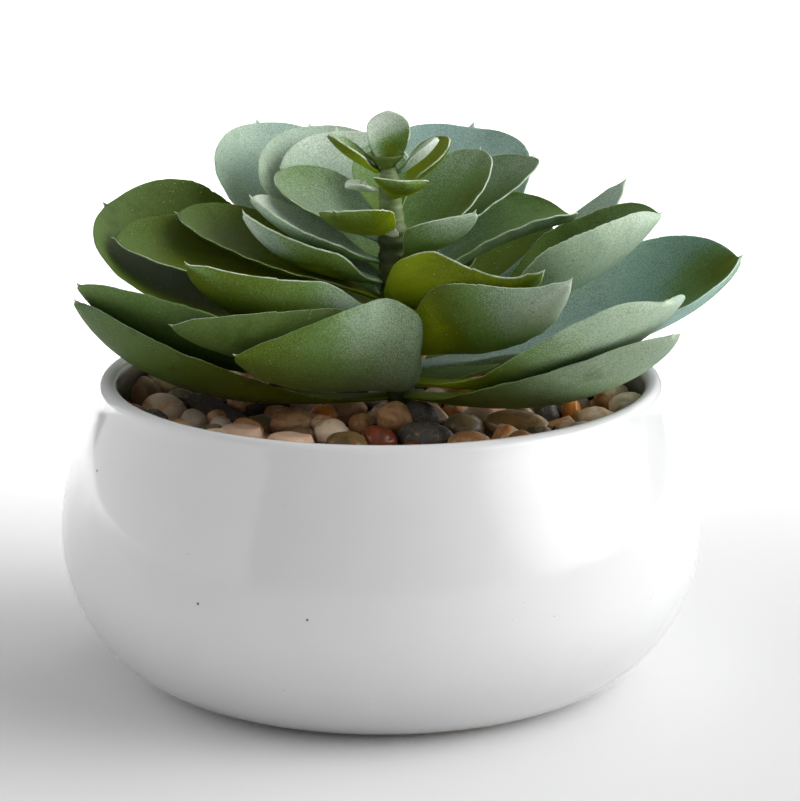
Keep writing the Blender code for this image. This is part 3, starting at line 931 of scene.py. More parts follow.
def stem_rings(stem):
    """The stem, with a collar at each leaf's root."""
    roots = [leaf.root * MM for tier in LEAVES.values() for leaf in tier]
    rings = [(stem_x(STEM_LOW[2]), STEM_LOW[2], TOE)]
    for height in spaced(STEM_LOW[2], STEM_HIGH[2] - 0.6 * MM, STEM_RINGS):
        collar = max(math.exp(-(((height - root) / COLLAR_REACH) ** 2)) for root in roots)
        slim = smooth((height - SLIM_START) / SLIM_REACH)
        radius = stem_radius(stem, height) * (1 - SLIM_LOSS * slim)
        radius += stem.collar * collar * (1 - COLLAR_LOSS * slim)
        rings.append((stem_x(height), height, radius))
    rings.append((stem_x(STEM_HIGH[2]), STEM_HIGH[2], TOE))
    return rings


# The cup in which the youngest leaves' bases join, in millimetres: (height above its foot, radius)
CUP_RINGS = (
    (0, 0.1), (0.1, 2.5), (0.9, 2.9), (1.8, 3.7), (2.6, 4.5), (3.2, 4.9),
    (3.35, 4.75), (3.1, 4.4), (2.5, 3.7), (2.1, 2.5), (2, 0.1),
)
CUP_FOOT = 131.8
CUP_SHIFT = -0.8  # to the left of the stem's axis


def cup_rings():
    x = stem_x(CUP_FOOT * MM) + CUP_SHIFT * MM
    return [(x, (CUP_FOOT + up) * MM, radius * MM) for up, radius in CUP_RINGS]


def stem_material(stem):
    finish = Finish("stem")
    place = finish.place()
    height = finish.parts(place)[2]
    powder = finish.noise(finish.stretched(place, (1, 1, 3)), 260, 4, 0.6)
    collar = finish.noise(finish.stretched(place, (0.2, 0.2, 1)), 300, 2)
    # Painted shade: below 112 to 120 mm the stem is darkened to its shade colour, as in the shadow of the
    # leaves over it
    low = 1 - height.within(112 * MM, 120 * MM)
    colour = finish.mix(powder.within(0.4, 0.7), stem.green, (0.25, 0.33, 0.16))
    colour = finish.mix(low, colour, stem.shade)
    colour = finish.mix(collar.within(0.5, 0.62) * 0.5, colour, (0.10, 0.14, 0.03))
    colour = finish.mix(height.within(130.5 * MM, 132.5 * MM) * 0.85, colour, (0.10, 0.15, 0.012))
    return finish.surface(
        Base_Color=colour,
        Roughness=0.42 + 0.2 * powder,
        Normal=finish.bump(powder + collar, 0.3 * MM, 0.5),
        IOR=1.46,
    )


# Beads of glue, in millimetres and degrees: (x, y, z, length, breadth, height, turn)
GLUE_BEADS = (
    (2.6, -7.6, 116.5, 4.2, 2.2, 2.4, -25),
    (-4.6, -1.2, 127.4, 2.2, 1.8, 2.6, 15),
)
GLUE_SEED = 5  # draw of their grain


def glue_material():
    finish = Finish("glue")
    place = finish.place()
    cloud = finish.noise(place, 500, 3)
    colour = finish.mix(cloud.within(0.45, 0.7), (0.86, 0.90, 0.80), (0.96, 0.98, 0.94))
    return finish.surface(
        Base_Color=colour,
        Roughness=0.06 + 0.2 * cloud,
        Normal=finish.bump(cloud, 0.4 * MM, 0.5),
        Transmission_Weight=0.7,
        IOR=1.45,
    )


def make_stem(context):
    stem = context.scene.snowball_stem
    post = turned("post", stem_rings(stem), STEM_SEGMENTS)
    cup = turned("cup", cup_rings(), STEM_SEGMENTS)
    piece = joined([post, cup], "stem_skin")
    settle(piece, "stem", stem_material(stem), "stem")
    chance = random.Random(GLUE_SEED)
    blank = rough_blank("blank_bead", 0.9, 0.5, "BLENDER_ORIGINAL", 1, 5)
    beads = []
    for x, y, z, length, breadth, height, turn in GLUE_BEADS:
        size = [length * MM, breadth * MM, height * MM]
        centre = (x * MM, y * MM, z * MM)
        slopes = Euler((0, 0, math.radians(turn)))
        beads.append(place_copy(blank, "bead", centre, size, slopes, chance))
    settle(joined(beads, "glue_beads"), "stem", glue_material())
    discard(blank)


# The leaves


@dataclass
class Leaf:
    """One leaf: millimetres and degrees, as a gardener would measure it from the stem."""

    root: float  # height at which it leaves the stem
    turn: float  # direction it points, from +X towards +Y
    rise: float  # slope of the straight line from root to tip
    length: float  # of that line, from the stem's axis
    width: float
    curl: float  # how far the midrib bends up from root to tip
    cup: float  # half angle of the arc across the blade
    bloom: float  # pale bloom on the outer face: 0 is bare flesh, below 0 a painted glow of light through the leaf, 1 is all powder
    inside: float  # and on the inner face
    fade: float  # how much more of it the tip carries than the stem end
    roll: float = 0  # turn about the midrib: positive lifts the left side
    belly: float = 0.55  # where along the leaf it is widest
    strap: float = 1.3  # high for a long narrow base, low for a broad one
    point: float = 0.6  # high for a sharp end, low for a round one
    sway: float = 0  # sideways bow of the midrib, positive to the left
    flatten: float = 0.35  # how much of the cup is lost by the tip
    hug: float = 0.3  # share of the length over which the cup opens
    skew: float = 0  # how much more of the arc lies left of the keel than right
    cusp: float = 2.4  # length of the horny point at the tip
    chill: float = 0.4  # how blue the bloom is
    painted_shade: float = 0  # how much darker the leaf is than its neighbours: painted shade for a leaf in shadow
    hem: float = 0.4  # how broad its pale margin is, partly worn bloom and partly painted rim light
    patches: tuple = ()  # rubbed or dusty places: (share of the length, side, reach, more bloom); deep below 0 they paint a glow of light through the leaf
    spurs: tuple = ()  # flash on the margin: (share of the length, size), size below 0 on the right


# First of each: root, turn, rise, length, width, curl, cup, bloom, inside, fade

LOW_LEAVES = (
    Leaf(75.3, 145, 12, 84, 30, 50, 40, 0.5, 0.4, 0.6, roll=-12, belly=0.62, strap=2.2, painted_shade=0.2),
    Leaf(73, 322, 19.5, 88, 46, 52, 45, 0.4, 0, 1.5, roll=-4, belly=0.62, strap=1.8, chill=0, painted_shade=0.35),
    Leaf(74, 46, 15, 84, 40, 45, 45, 0.6, 0.5, 0.8, painted_shade=0.3),
    Leaf(
        72.3, 188, 19.9, 88, 50, 68, 42, 0.05, -0.1, 1.2, roll=12.5, belly=0.64, strap=2.8, painted_shade=0.55,
    ),
    Leaf(77.3, 95, 16, 82, 40, 45, 43, 0.6, 0.5, 0.8, painted_shade=0.3),
    Leaf(
        77, 319, 22.5, 91, 41, 50, 45, 0.18, -0.1, 2.1, roll=-5, belly=0.75, strap=2.8, point=0.32,
        sway=-4.5, spurs=((0.78, 1.6),), chill=0, painted_shade=0.08,
    ),
    Leaf(
        78.8, 185.5, 18, 86, 49, 55, 55, 0.45, 0.2, 0, roll=20, belly=0.63, strap=3.4, sway=1.3,
        chill=0.1, painted_shade=0.2,
    ),
    Leaf(80, 106, 28, 80, 32, 30, 40, 0.6, 0.5, 0.8, belly=0.68, strap=2),
    Leaf(
        80, 0, 19.5, 93, 57, 40, 55, 1.2, 1.2, -0.4, roll=10, belly=0.66, strap=2.2, point=0.5, sway=-1.5,
        cusp=3.4, chill=0.95, hem=0.8, patches=((1, 0, 0.28, -1.2),),
    ),
    Leaf(82.1, 60, 22, 80, 30, 35, 40, 0.4, 0, 0.2, belly=0.62, strap=2, painted_shade=0.3),
)

MIDDLE_LEAVES = (
    Leaf(
        75, 219, 18.5, 56, 41, 30, 60, 0.42, 0.5, -0.8, roll=25, belly=0.18, strap=0.6, point=0.7,
        sway=1.5, hug=0.05, skew=0.5, spurs=((0.5, -0.8),), chill=0.2, painted_shade=0.06,
        patches=((0.45, 0.8, 0.25, 0.4), (0.5, -0.7, 0.25, -0.2)),
    ),
    Leaf(84.4, 33, 28.7, 82, 17, 35, 40, 0.9, 0.9, 0.8, belly=0.65, point=1, cusp=3.2, hem=1),
    Leaf(
        85.3, 167.3, 25, 86, 58, 30, 34, 0.4, -0.15, 1.1, roll=-16, belly=0.72, strap=3, point=0.45,
        sway=5.5, flatten=0.2, cusp=3.4, chill=0.9, painted_shade=0.42, hem=0.3,
    ),
    Leaf(
        86.2, 71.6, 36.7, 82, 44, 20, 38, 0.6, 0.8, 0.7, roll=8, belly=0.7, strap=1.8, point=0.38,
        sway=2.7, cusp=4.2, chill=0.6, hem=1,
    ),
    Leaf(
        88.5, 2, 26.6, 75, 58, 45, 75, 0.98, 0.2, 0.6, roll=-8, belly=0.61, strap=4.6, point=0.42,
        sway=-2, chill=0.05, hem=1,
    ),
    Leaf(
        83.3, 211, 14.3, 68, 22, 35, 56, 0.3, 0.2, 0.2, roll=26, belly=0.3, strap=0.8, point=0.7,
        hug=0.05, skew=0.6, spurs=((0.66, -1.4),), chill=0.5, painted_shade=0.55, hem=0.6,
    ),
    Leaf(
        90.3, 123.3, 34.7, 82, 44, 30, 38, 0.6, 0.75, 1, roll=3, belly=0.7, strap=2, point=0.5, sway=3,
        cusp=3.2, chill=0.35, hem=0.8, patches=((0.35, 0.3, 0.25, -0.9),),
    ),
    Leaf(
        94.7, 182, 16, 75, 32.5, 0, 44, 0, -0.35, 1.4, roll=-16, belly=0.62, strap=1.8, chill=0.15,
        painted_shade=0.3, hem=0.7,
    ),
    Leaf(
        98.5, 16.5, 22, 52, 47, -20, 40, 0.9, 0.6, -0.5, roll=-3, belly=0.7, strap=1.2, point=0.42,
        sway=4.5, chill=0.15, painted_shade=0.1, hem=1.2,
    ),
    Leaf(
        92.9, 204, 20.2, 61, 20, 65, 56, 0.2, 0.3, -0.6, roll=26, belly=0.38, strap=1.1, point=0.7,
        hug=0.1, skew=0.5, spurs=((0.72, -1.2),), chill=0.2, painted_shade=0.08, hem=1.6,
        patches=((0.05, 0.5, 0.3, 0.9), (0.35, -0.3, 0.22, -1), (1, 0.5, 0.15, 0.6)),
    ),
    Leaf(
        84.2, 323, 28, 60, 28, 58, 58, 0.4, -0.3, 1.5, roll=-28, belly=0.36, strap=0.9, point=1.1,
        hug=0.1, skew=-0.5, chill=0.1, hem=1.2, patches=((0.15, -0.3, 0.3, -0.45), (1, 0.4, 0.3, 1.5)),
    ),
    Leaf(
        97.9, 173, 21.7, 61, 28, 5, 45, -0.2, -0.25, 1.4, roll=-14, strap=1.9, sway=1.6, chill=0.5,
        painted_shade=0.3, hem=0.5,
    ),
    Leaf(93, 47, 28, 34, 9, 20, 38, -0.4, -0.4, 0, belly=0.65, hem=1),
)

HIGH_LEAVES = (
    Leaf(
        99.7, 117, 38.3, 62, 42, 30, 38, 0.6, 1.2, 0, belly=0.65, strap=1.8, point=0.5, sway=2, chill=0,
        hem=0.8,
    ),
    Leaf(103, 42, 29.5, 57, 30, 25, 48, 0.4, 0.25, 1.2, point=0.45, sway=8, chill=0.3, painted_shade=0.2, hem=2.4),
    Leaf(
        102.5, 189, 29.5, 44, 24, 60, 60, 0.25, 0.8, -0.3, roll=12, belly=0.4, point=0.9, sway=2,
        chill=0.1, hem=2, patches=((1, 0, 0.38, 1.9), (0.42, 0, 0.24, -1.1)),
    ),
    Leaf(
        103, 111, 40, 54, 38, 30, 36, 0.7, 0.85, 1.2, belly=0.65, strap=1.8, point=0.5, sway=2,
        chill=0.05, hem=0.8,
    ),
    Leaf(
        96.9, 324, 19.1, 48, 27, 60, 58, -0.2, -0.3, 0.1, roll=-28, belly=0.14, strap=0.5, point=1.4,
        hug=0.05, skew=-0.5, spurs=((0.7, 1.2),), chill=0.1, painted_shade=0.06, hem=2.4,
        patches=((0.1, -0.5, 0.35, -0.2), (1, 0.3, 0.15, 0.6)),
    ),
    Leaf(
        106, 50, 40, 45, 24, 20, 50, 0.4, 0.5, 0.4, point=0.5, chill=0, hem=1.2,
        patches=((0.6, -0.6, 0.25, -0.45),),
    ),
    Leaf(107.6, 181, 28, 41, 22, 40, 55, 0.7, 1.3, 0.9, roll=-3, point=0.5, sway=1.5, chill=0.1, hem=2),
    Leaf(109, 325, 35, 30, 22, 40, 60, 0.55, 0.4, 1.1, roll=-10, belly=0.4, point=0.9, chill=0.1, hem=1),
    Leaf(112.8, 149, 28, 38, 27, 30, 45, 0.5, 0.8, -0.4, roll=-5, point=0.5, chill=0.1, hem=0.8),
    Leaf(115.9, 98, 38, 34, 16, 40, 45, 0.6, 0.4, 0.8, chill=0.3),
    Leaf(
        115.5, 232, 25, 26, 22, 50, 60, -0.15, 0.4, 0.8, roll=10, belly=0.45, strap=0.8, chill=0, hem=1.2,
    ),
)

CROWN_LEAVES = (
    Leaf(125, 289, 36, 13, 16, 50, 60, -0.2, 0.9, 1.3, roll=-8, cusp=0.8, chill=0, hem=1.2),
    Leaf(126, 190, 12, 12, 8, 10, 50, 2, 2, 0, cusp=0.8, chill=0, hem=1),
    Leaf(126.5, 27, 43, 21.5, 13, 30, 60, -0.1, -0.35, 0.4, roll=6, point=0.5, cusp=1, chill=0, hem=1),
    Leaf(131, 178, 38, 18.6, 11, 30, 65, -0.3, 0.5, 0.8, strap=0.7, cusp=1, chill=0, hem=1.8),
    Leaf(131, 357, 44, 15.8, 9, 30, 60, 1.5, 1.2, 1, strap=0.7, cusp=0.8, chill=0, hem=1.2),
    Leaf(
        134.2, 90, 70, 14.2, 11.8, 50, 45, 0.5, 1.6, 0.6, belly=0.5, strap=0.3, point=0.5, cusp=0.8,
        chill=0, hem=0.8, patches=((0.1, 0, 0.35, -1.1), (0.4, -1.2, 0.45, -1.1)),
    ),
)

LEAVES = {"low": LOW_LEAVES, "middle": MIDDLE_LEAVES, "high": HIGH_LEAVES, "crown": CROWN_LEAVES}


def leaf_blank():
    """A flat blade to be copied and bent: a ball pressed thin, its poles at root and tip."""
    start_alone()
    bpy.ops.mesh.primitive_uv_sphere_add(
        segments=BLANK_SEGMENTS, ring_count=BLANK_RINGS, radius=1, enter_editmode=True
    )
    bpy.ops.transform.resize(value=(1, BLANK_FLATNESS, 1))
    bpy.ops.object.mode_set(mode="OBJECT")
    bpy.ops.object.shade_smooth()
    return named(bpy.context.object, "blank_leaf")


def blank_places(points):
    """For each point of the blank: how far it is across, towards its upper face and along."""
    ring = np.sqrt(np.maximum(1 - points[:, 2] ** 2, 0))
    pole = ring < 1e-3
    ring = np.where(pole, 1, ring)
    across = np.where(pole, 0, np.clip(points[:, 0] / ring, -1, 1))
    lift = np.where(pole, 0, np.clip(points[:, 1] / (BLANK_FLATNESS * ring), -1, 1))
    along = np.arccos(np.clip(-points[:, 2], -1, 1)) / math.pi
    return across, lift, 1 - (1 - along) ** TIP_CROWDING


def midrib(leaf, stem, thickness):
    """Shares, places out and up, and slopes along the midrib, whose ends keep the leaf's rise and length."""
    share = np.linspace(0, 1, MIDRIB_POINTS)
    slope = math.radians(leaf.curl) * share**2
    step = 1 / (len(share) - 1)
    out = np.concatenate([[0], np.cumsum(np.cos(slope[1:]) * step)])
    up = np.concatenate([[0], np.cumsum(np.sin(slope[1:]) * step)])
    turn = math.radians(leaf.rise) - math.atan2(up[-1], out[-1])
    root_lift = thickness / 2 * abs(math.sin(turn))
    start = stem_radius(stem, leaf.root * MM) + LEAF_GAP + root_lift
    scale = (leaf.length * MM - start) / math.hypot(out[-1], up[-1])
    turned_out = start + scale * (out * math.cos(turn) - up * math.sin(turn))
    turned_up = scale * (out * math.sin(turn) + up * math.cos(turn))
    sink = ROOT_SINK * (1 - smooth(share / SINK_REACH))
    return share, turned_out - sink * math.cos(turn), turned_up - sink * math.sin(turn), slope + turn


def half_width(leaf, share):
    """Half the blade's width along it, without its cusp, whose length it leaves free."""
    full = leaf.width * MM / 2
    swell = np.sin(math.pi / 2 * np.clip(share / leaf.belly, 0, 1)) ** leaf.strap
    end = 1 - CUSP_FREE * leaf.cusp / leaf.length
    beyond = np.clip((share - leaf.belly) / (end - leaf.belly), 0, 1)
    base = full * (NECK + (1 - NECK) * swell)
    return np.where(share < leaf.belly, base, full * (1 - beyond**2.2) ** leaf.point)


def cusp_width(leaf, share):
    """Half the width of the horny point, with its broad foot."""
    reach = CUSP_REACH * leaf.cusp / leaf.length
    return CUSP_BREADTH * leaf.cusp * MM * np.clip((1 - share) / reach, 0, 1) ** 1.4 * (share > 0.6)


def wander(share, chance, waves):
    """A slow wave along the margin, drawn by chance."""
    total = np.zeros_like(share)
    for count in waves:
        total += np.sin(math.tau * (count * share + chance.random())) * chance.uniform(0.4, 1) / len(waves)
    return total


def margin_spurs(leaf, share, across):
    """How far the spurs of moulding flash stand out from the margin."""
    total = np.zeros_like(share)
    for place, size in leaf.spurs:
        near = np.clip(1 - np.abs(share - place) * leaf.length / (SPUR_REACH * abs(size)), 0, 1)
        total += abs(size) * MM * near**1.3 * (across * size > 0)
    return total


def bloom_at(leaf, across, along, under):
    """How much bloom each point carries: 0 is bare flesh, less is a painted glow of light shining through
    the leaf, 1 is powder and more is frost.
    """
    level = np.where(under > 0, leaf.bloom, leaf.inside) + leaf.fade * (along - 0.5)
    for place, side, reach, more in leaf.patches:
        away = np.hypot(along - place, (across - side) * PATCH_BREADTH)
        level += more * np.exp(-((away / reach) ** 2))
    return level


def blade_axes(leaf, leaves, stem, along):
    """The midrib's place at each point, with the blade's directions upwards and sideways there."""
    shares, outs, ups, slopes = midrib(leaf, stem, leaves.thickness)
    slope = np.interp(along, shares, slopes)
    heading = math.radians(leaf.turn)
    ahead = np.array([math.cos(heading), math.sin(heading), 0])
    left = np.array([-ahead[1], ahead[0], 0])
    upright = np.array([0, 0, 1])
    centre = np.array([stem_x(leaf.root * MM), 0, leaf.root * MM])
    centre = centre + np.outer(np.interp(along, shares, outs), ahead)
    centre += np.outer(np.interp(along, shares, ups), upright)
    centre += np.outer(leaf.sway * MM * np.sin(math.pi * along), left)
    above = np.outer(np.cos(slope), upright) - np.outer(np.sin(slope), ahead)
    roll = (math.radians(leaf.roll) * smooth(along / ROLL_REACH))[:, None]
    sideways = left * np.cos(roll) + above * np.sin(roll)
    return centre, above * np.cos(roll) - left * np.sin(roll), sideways


def quarter_round(share):
    """Rises from 0 to 1 along a quarter of a circle."""
    return np.sqrt(1 - (1 - np.clip(share, 0, 1)) ** 2)


def blade_lift(leaf, leaves, across, along, wide):
    """Half the blade's thickness: less towards the margin, and rounded off there and at both ends."""
    margin = quarter_round(wide * (1 - np.abs(across)) / (leaves.edge / 2))
    half = (leaves.edge + (leaves.thickness - leaves.edge) * (1 - across**2)) / 2
    ends = quarter_round(np.minimum(along, 1 - along) * leaf.length * MM / BLUNT_END)
    return half * margin * (ends * np.clip(wide / THIN_WIDTH, 0, 1))


def store_finish(obj, leaf, across, along, under, wide, scatter):
    """Stores on the leaf what its material reads."""
    rim = wide * (1 - np.abs(across)) / max(leaf.hem, 1) + HEM_WIDTH * max(1 - leaf.hem, 0)
    place = [along, rim, np.full_like(along, leaf.painted_shade)]
    shade = [bloom_at(leaf, across, along, under), np.full_like(along, leaf.chill), np.zeros_like(along)]
    skin = [across * wide, along * leaf.length * MM, under * 0.05 + scatter]
    for name, rows in (("place", place), ("shade", shade), ("skin", skin)):
        add_vectors(obj, name, np.column_stack(rows))


def bend_leaf(obj, leaf, leaves, stem, chance):
    """Bends a copy of the blank into one leaf."""
    across, lift, along = blank_places(points_of(obj))
    centre, above, sideways = blade_axes(leaf, leaves, stem, along)
    wide = np.hypot(half_width(leaf, along), cusp_width(leaf, along))
    opened = ROOT_CUP + (1 - ROOT_CUP) * smooth(along / leaf.hug)
    arc = math.radians(leaf.cup) * opened * (1 - leaf.flatten * along)
    angle = (arc * (across + leaf.skew))[:, None]
    radius = (wide / arc)[:, None]
    normal = above * np.cos(angle) - sideways * np.sin(angle)
    tangent = sideways * np.cos(angle) + above * np.sin(angle)
    points = centre + sideways * radius * np.sin(angle) + above * radius * (1 - np.cos(angle))

    lifted = np.sign(lift) * blade_lift(leaf, leaves, across, along, wide)
    edgeward = np.abs(across) ** 4 * smooth(along / RIPPLE_REACH) * np.clip(wide / CALM_WIDTH, 0, 1)
    left = wander(along, chance, LEFT_WAVES)
    right = wander(along, chance, RIGHT_WAVES)
    waves = np.where(across > 0, left, right)
    ripple = leaves.ripple * min(leaf.width / FULL_WIDTH, 1)
    points = points + normal * (lifted + ripple * waves * edgeward)[:, None]
    ragged = wander(along, chance, RAGGED_WAVES) * RAGGED * wide + margin_spurs(leaf, along, across)
    points = points + tangent * (ragged * np.abs(across) ** 8 * np.sign(across))[:, None]
    set_points(obj, points)
    under = np.where(lift < 0, 1.0, 0.0)
    store_finish(obj, leaf, across, along, under, wide, chance.uniform(0, 1))


def leaf_material(name, leaves, more):
    """Flesh with a painted glow of light through it where barest, under a grainy bloom with flecks, streaks,
    painted shade and pale edges, partly worn and partly painted rim light.
    """
    finish = Finish(name)
    place = finish.place()
    along, rim, painted_shade = finish.parts(finish.attribute("place"))
    level, chill = finish.parts(finish.attribute("shade"))[:2]
    skin = finish.attribute("skin")

    cloud = finish.noise(place, 55, 3, 0.6, 0.5)
    streaks = finish.noise(finish.stretched(skin, (700, 30, 5)), 1, 3, 0.6)
    grain = finish.noise(place, 3100, 2, 0.7)
    reach = level + more + 0.35 * (cloud - 0.5) + 0.22 * (streaks - 0.5) + 1.2 * (grain - 0.5)
    blueness = (chill + 1.6 * (finish.noise(place, 30, 2) - 0.5)).clamped()
    powder = finish.mix(blueness, leaves.powder, leaves.chill)
    # Painted light: below bare flesh the colour brightens to the glow of light shining through the leaf
    colour = finish.mix(reach.within(-0.5, 0.0), leaves.glow, leaves.flesh)
    colour = finish.mix(reach.within(-0.05, 0.45), colour, leaves.green)
    colour = finish.mix(reach.within(0.4, 1.05), colour, powder)
    colour = finish.mix(reach.within(1.0, 1.7), colour, leaves.frost)
    deep = finish.noise(place, 110, 4, 0.65)
    # Random darker blotches, plus painted shade that darkens a shaded leaf towards a third of the flesh
    # colour
    colour = finish.mix(deep.within(0.5, 0.8) * 0.3 + painted_shade, colour, shaded(leaves.flesh, 0.35))
    colour = finish.mix(0.28 * (1 - grain.within(0.36, 0.56)), colour, shaded(leaves.green, 0.35))

    flecks = finish.dots(place, 640, 0.07, 0.15) * finish.noise(place, 90, 3).within(0.46, 0.62)
    colour = finish.mix(flecks * 0.5, colour, (0.55, 0.70, 0.54))
    blots = finish.dots(place, 420, 0.06, 0.16) * finish.noise(place, 70, 2).within(0.55, 0.62)
    colour = finish.mix(blots * 0.5, colour, (0.05, 0.07, 0.02))
    # Pale margins and tip: partly worn bloom, partly painted rim light where the edges catch the light
    wear_and_rim_light = finish.noise(place, 260, 3, 0.6).within(0.3, 0.55)
    edge = 1 - (rim + 0.25 * MM * (grain - 0.5)).within(0.2 * HEM_WIDTH, HEM_WIDTH)
    edge = (edge * along.within(0.08, 0.3)).math("MAXIMUM", along.within(0.975, 0.995))
    colour = finish.mix(edge * (0.4 + 0.6 * wear_and_rim_light), colour, leaves.margin)

    height = grain * 0.5 + streaks * 0.3 + flecks * 0.5 + deep * 0.8
    return finish.surface(
        Base_Color=colour,
        Roughness=0.46 + 0.14 * reach.clamped() + 0.1 * grain,
        Normal=finish.bump(height, 0.14 * MM, 0.6),
        Specular_IOR_Level=0.14,
        Subsurface_Weight=0.1,
        Subsurface_Radius=(0.9, 1.0, 0.1),
        Subsurface_Scale=1.6 * MM,
    )


def make_leaves(context, tier):
    """Every leaf of one tier, each in the place of its own solid."""
    leaves = context.scene.snowball_leaves
    stem = context.scene.snowball_stem
    skin = leaf_material("leaf_" + tier, leaves, getattr(leaves, tier))
    blank = leaf_blank()
    table = LEAVES[tier]
    chance = random.Random(len(table) * 7 + len(tier))  # a draw of its own for each tier
    for number, leaf in enumerate(table, 1):
        node = "leaf_%s_%d" % (tier, number)
        piece = copy_of(blank, node + "_blade")
        bend_leaf(piece, leaf, leaves, stem, chance)
        settle(piece, "leaf_" + tier, skin, node)
    discard(blank)


# The stage


def area_light(name, power, size, place, aim, spread=math.pi):
    light = bpy.data.lights.new(name, "AREA")
    light.shape = "RECTANGLE"
    light.size, light.size_y = size
    light.energy = power
    light.spread = spread
    lamp = bpy.data.objects.new(name, light)
    lamp.location = place
    lamp.rotation_euler = (Vector(aim) - Vector(place)).to_track_quat("-Z", "Y").to_euler()
    bpy.context.scene.collection.objects.link(lamp)


def make_camera():
    data = bpy.data.cameras.new("camera")
    data.sensor_width = SENSOR
    data.lens = FOCAL_PIXELS * SENSOR / PHOTO_HEIGHT
    data.shift_x = (PHOTO_WIDTH / 2 - AIM_PIXEL[0]) / PHOTO_HEIGHT
    data.shift_y = (AIM_PIXEL[1] - PHOTO_HEIGHT / 2) / PHOTO_HEIGHT
    camera = bpy.data.objects.new("camera", data)
    camera.location = (
        0,
        -CAMERA_DISTANCE * math.cos(CAMERA_RISE),
        AIM_HEIGHT + CAMERA_DISTANCE * math.sin(CAMERA_RISE),
    )
    camera.rotation_euler = (math.pi / 2 - CAMERA_RISE, 0, 0)
    bpy.context.scene.collection.objects.link(camera)
    bpy.context.scene.camera = camera


def make_floor(colour):
    start_alone()
    bpy.ops.mesh.primitive_plane_add(size=1, enter_editmode=True)
    bpy.ops.transform.resize(value=(FLOOR_SIZE, FLOOR_SIZE, 1))
    bpy.ops.object.mode_set(mode="OBJECT")
    floor = named(bpy.context.object, "floor")
    finish = Finish("floor")
    grain = finish.noise(finish.place(), 60, 2)
    shade = finish.mix(grain * 0.03, colour, shaded(colour, 0.96))
    floor.data.materials.append(finish.surface(Base_Color=shade, Roughness=0.9))


def make_stage(context):
    stage = context.scene.snowball_stage
    make_floor(stage.floor)
    make_camera()
    area_light("key", stage.key, (2.2, 1.6), (1.25, -0.2, 0.6), PLANT_MIDDLE, stage.spread)
    area_light("board", stage.board, (2.0, 1.2), (-1.0, 0, 0.6), (0, 0, 0.6))
    area_light("back", stage.back, (1.6, 1.6), (0.8, 0.9, 0.9), PLANT_MIDDLE, stage.spread)
    area_light("wash", stage.wash, (3, 1.6), (0, WASH_DISTANCE, 1), (0, WASH_DISTANCE, 0), WASH_SPREAD)
    world = bpy.data.worlds.new("sky")
    world.use_nodes = True
    background = world.node_tree.nodes["Background"]
    background.inputs["Color"].default_value = (1, 1, 1, 1)
    background.inputs["Strength"].default_value = stage.sky
    context.scene.world = world
    context.scene.view_settings.view_transform = "Standard"


# The add-on


class SNOWBALL_OT_bowl(bpy.types.Operator):
    """Model and glaze the bowl"""

    bl_idname = "snowball.bowl"
    bl_label = "Bowl"

    def execute(self, context):
        bowl = context.scene.snowball_bowl
        piece = turned("bowl_shell", bowl_rings(bowl), BOWL_SEGMENTS)
        settle(piece, "glaze", glaze_material(bowl), "bowl")
        return {"FINISHED"}


class SNOWBALL_OT_bark(bpy.types.Operator):
    """Lay the dark bed of bark and its splinters"""

    bl_idname = "snowball.bark"
    bl_label = "Bark"

    def execute(self, context):
        make_bark(context)
        return {"FINISHED"}


class SNOWBALL_OT_pebbles(bpy.types.Operator):
    """Lay the pebbles over the bark"""

    bl_idname = "snowball.pebbles"
    bl_label = "Pebbles"

    def execute(self, context):
        make_pebbles(context)
        return {"FINISHED"}


class SNOWBALL_OT_stem(bpy.types.Operator):
    """Model the stem and its beads of glue"""

    bl_idname = "snowball.stem"
    bl_label = "Stem"

    def execute(self, context):
        make_stem(context)
        return {"FINISHED"}


class SNOWBALL_OT_low_leaves(bpy.types.Operator):
    """Bend the lowest tier of leaves"""

    bl_idname = "snowball.low_leaves"
    bl_label = "Low Leaves"

    def execute(self, context):
        make_leaves(context, "low")
        return {"FINISHED"}


class SNOWBALL_OT_middle_leaves(bpy.types.Operator):
    """Bend the middle tier of leaves"""

    bl_idname = "snowball.middle_leaves"
    bl_label = "Middle Leaves"

    def execute(self, context):
        make_leaves(context, "middle")
        return {"FINISHED"}


class SNOWBALL_OT_high_leaves(bpy.types.Operator):
    """Bend the high tier of leaves"""

    bl_idname = "snowball.high_leaves"
    bl_label = "High Leaves"

    def execute(self, context):
        make_leaves(context, "high")
        return {"FINISHED"}


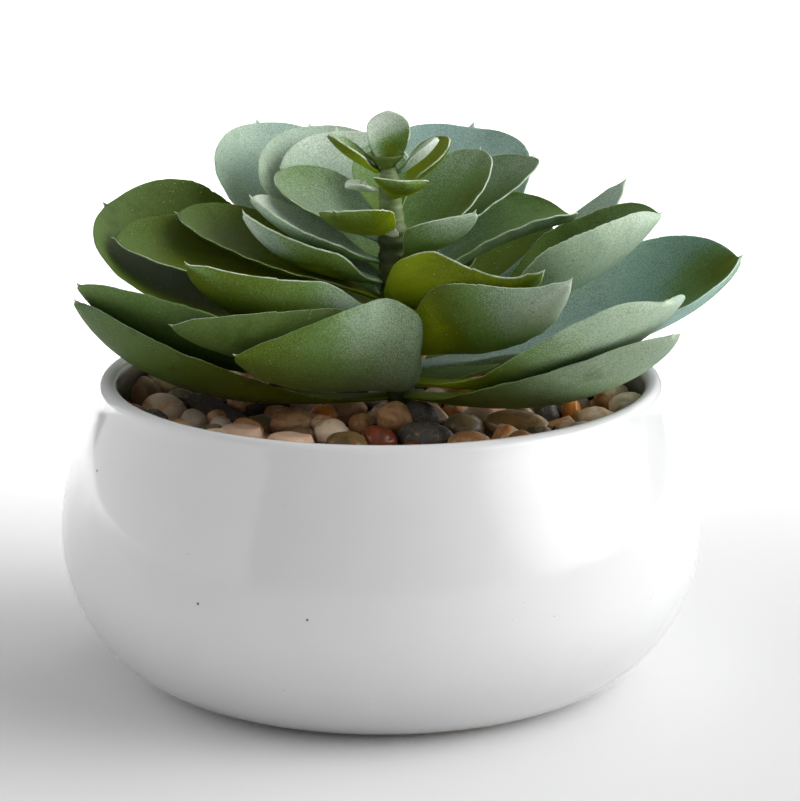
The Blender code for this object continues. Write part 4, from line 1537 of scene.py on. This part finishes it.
class SNOWBALL_OT_crown_leaves(bpy.types.Operator):
    """Bend the small leaves of the crown"""

    bl_idname = "snowball.crown_leaves"
    bl_label = "Crown Leaves"

    def execute(self, context):
        make_leaves(context, "crown")
        return {"FINISHED"}


class SNOWBALL_OT_stage(bpy.types.Operator):
    """Set up the floor, lights and camera"""

    bl_idname = "snowball.stage"
    bl_label = "Stage"

    def execute(self, context):
        make_stage(context)
        return {"FINISHED"}


OPERATORS = (
    SNOWBALL_OT_stage, SNOWBALL_OT_bowl, SNOWBALL_OT_bark, SNOWBALL_OT_pebbles, SNOWBALL_OT_stem,
    SNOWBALL_OT_low_leaves, SNOWBALL_OT_middle_leaves, SNOWBALL_OT_high_leaves, SNOWBALL_OT_crown_leaves,
)
SETTINGS = {
    "snowball_bowl": BowlSettings,
    "snowball_fill": FillSettings,
    "snowball_stem": StemSettings,
    "snowball_leaves": LeafSettings,
    "snowball_stage": StageSettings,
}


class SNOWBALL_PT_panel(bpy.types.Panel):
    """Lists the pieces and what can be changed on them"""

    bl_idname = "SNOWBALL_PT_panel"
    bl_label = "Potted Mexican Snowball"
    bl_space_type = "VIEW_3D"
    bl_region_type = "UI"
    bl_category = "Snowball"

    def draw(self, context):
        for operator in OPERATORS:
            self.layout.operator(operator.bl_idname)
        for name, group in SETTINGS.items():
            box = self.layout.box()
            for prop in group.__annotations__:
                box.prop(getattr(context.scene, name), prop)


def register():
    for cls in (*SETTINGS.values(), *OPERATORS, SNOWBALL_PT_panel):
        bpy.utils.register_class(cls)
    for name, group in SETTINGS.items():
        setattr(bpy.types.Scene, name, PointerProperty(type=group))


def unregister():
    for name in SETTINGS:
        delattr(bpy.types.Scene, name)
    for cls in (SNOWBALL_PT_panel, *reversed(OPERATORS), *reversed(SETTINGS.values())):
        bpy.utils.unregister_class(cls)


def main():
    register()
    bpy.ops.snowball.stage()
    bpy.ops.snowball.bowl()
    bpy.ops.snowball.bark()
    bpy.ops.snowball.pebbles()
    bpy.ops.snowball.stem()
    bpy.ops.snowball.low_leaves()
    bpy.ops.snowball.middle_leaves()
    bpy.ops.snowball.high_leaves()
    bpy.ops.snowball.crown_leaves()


if __name__ == "__main__":
    main()
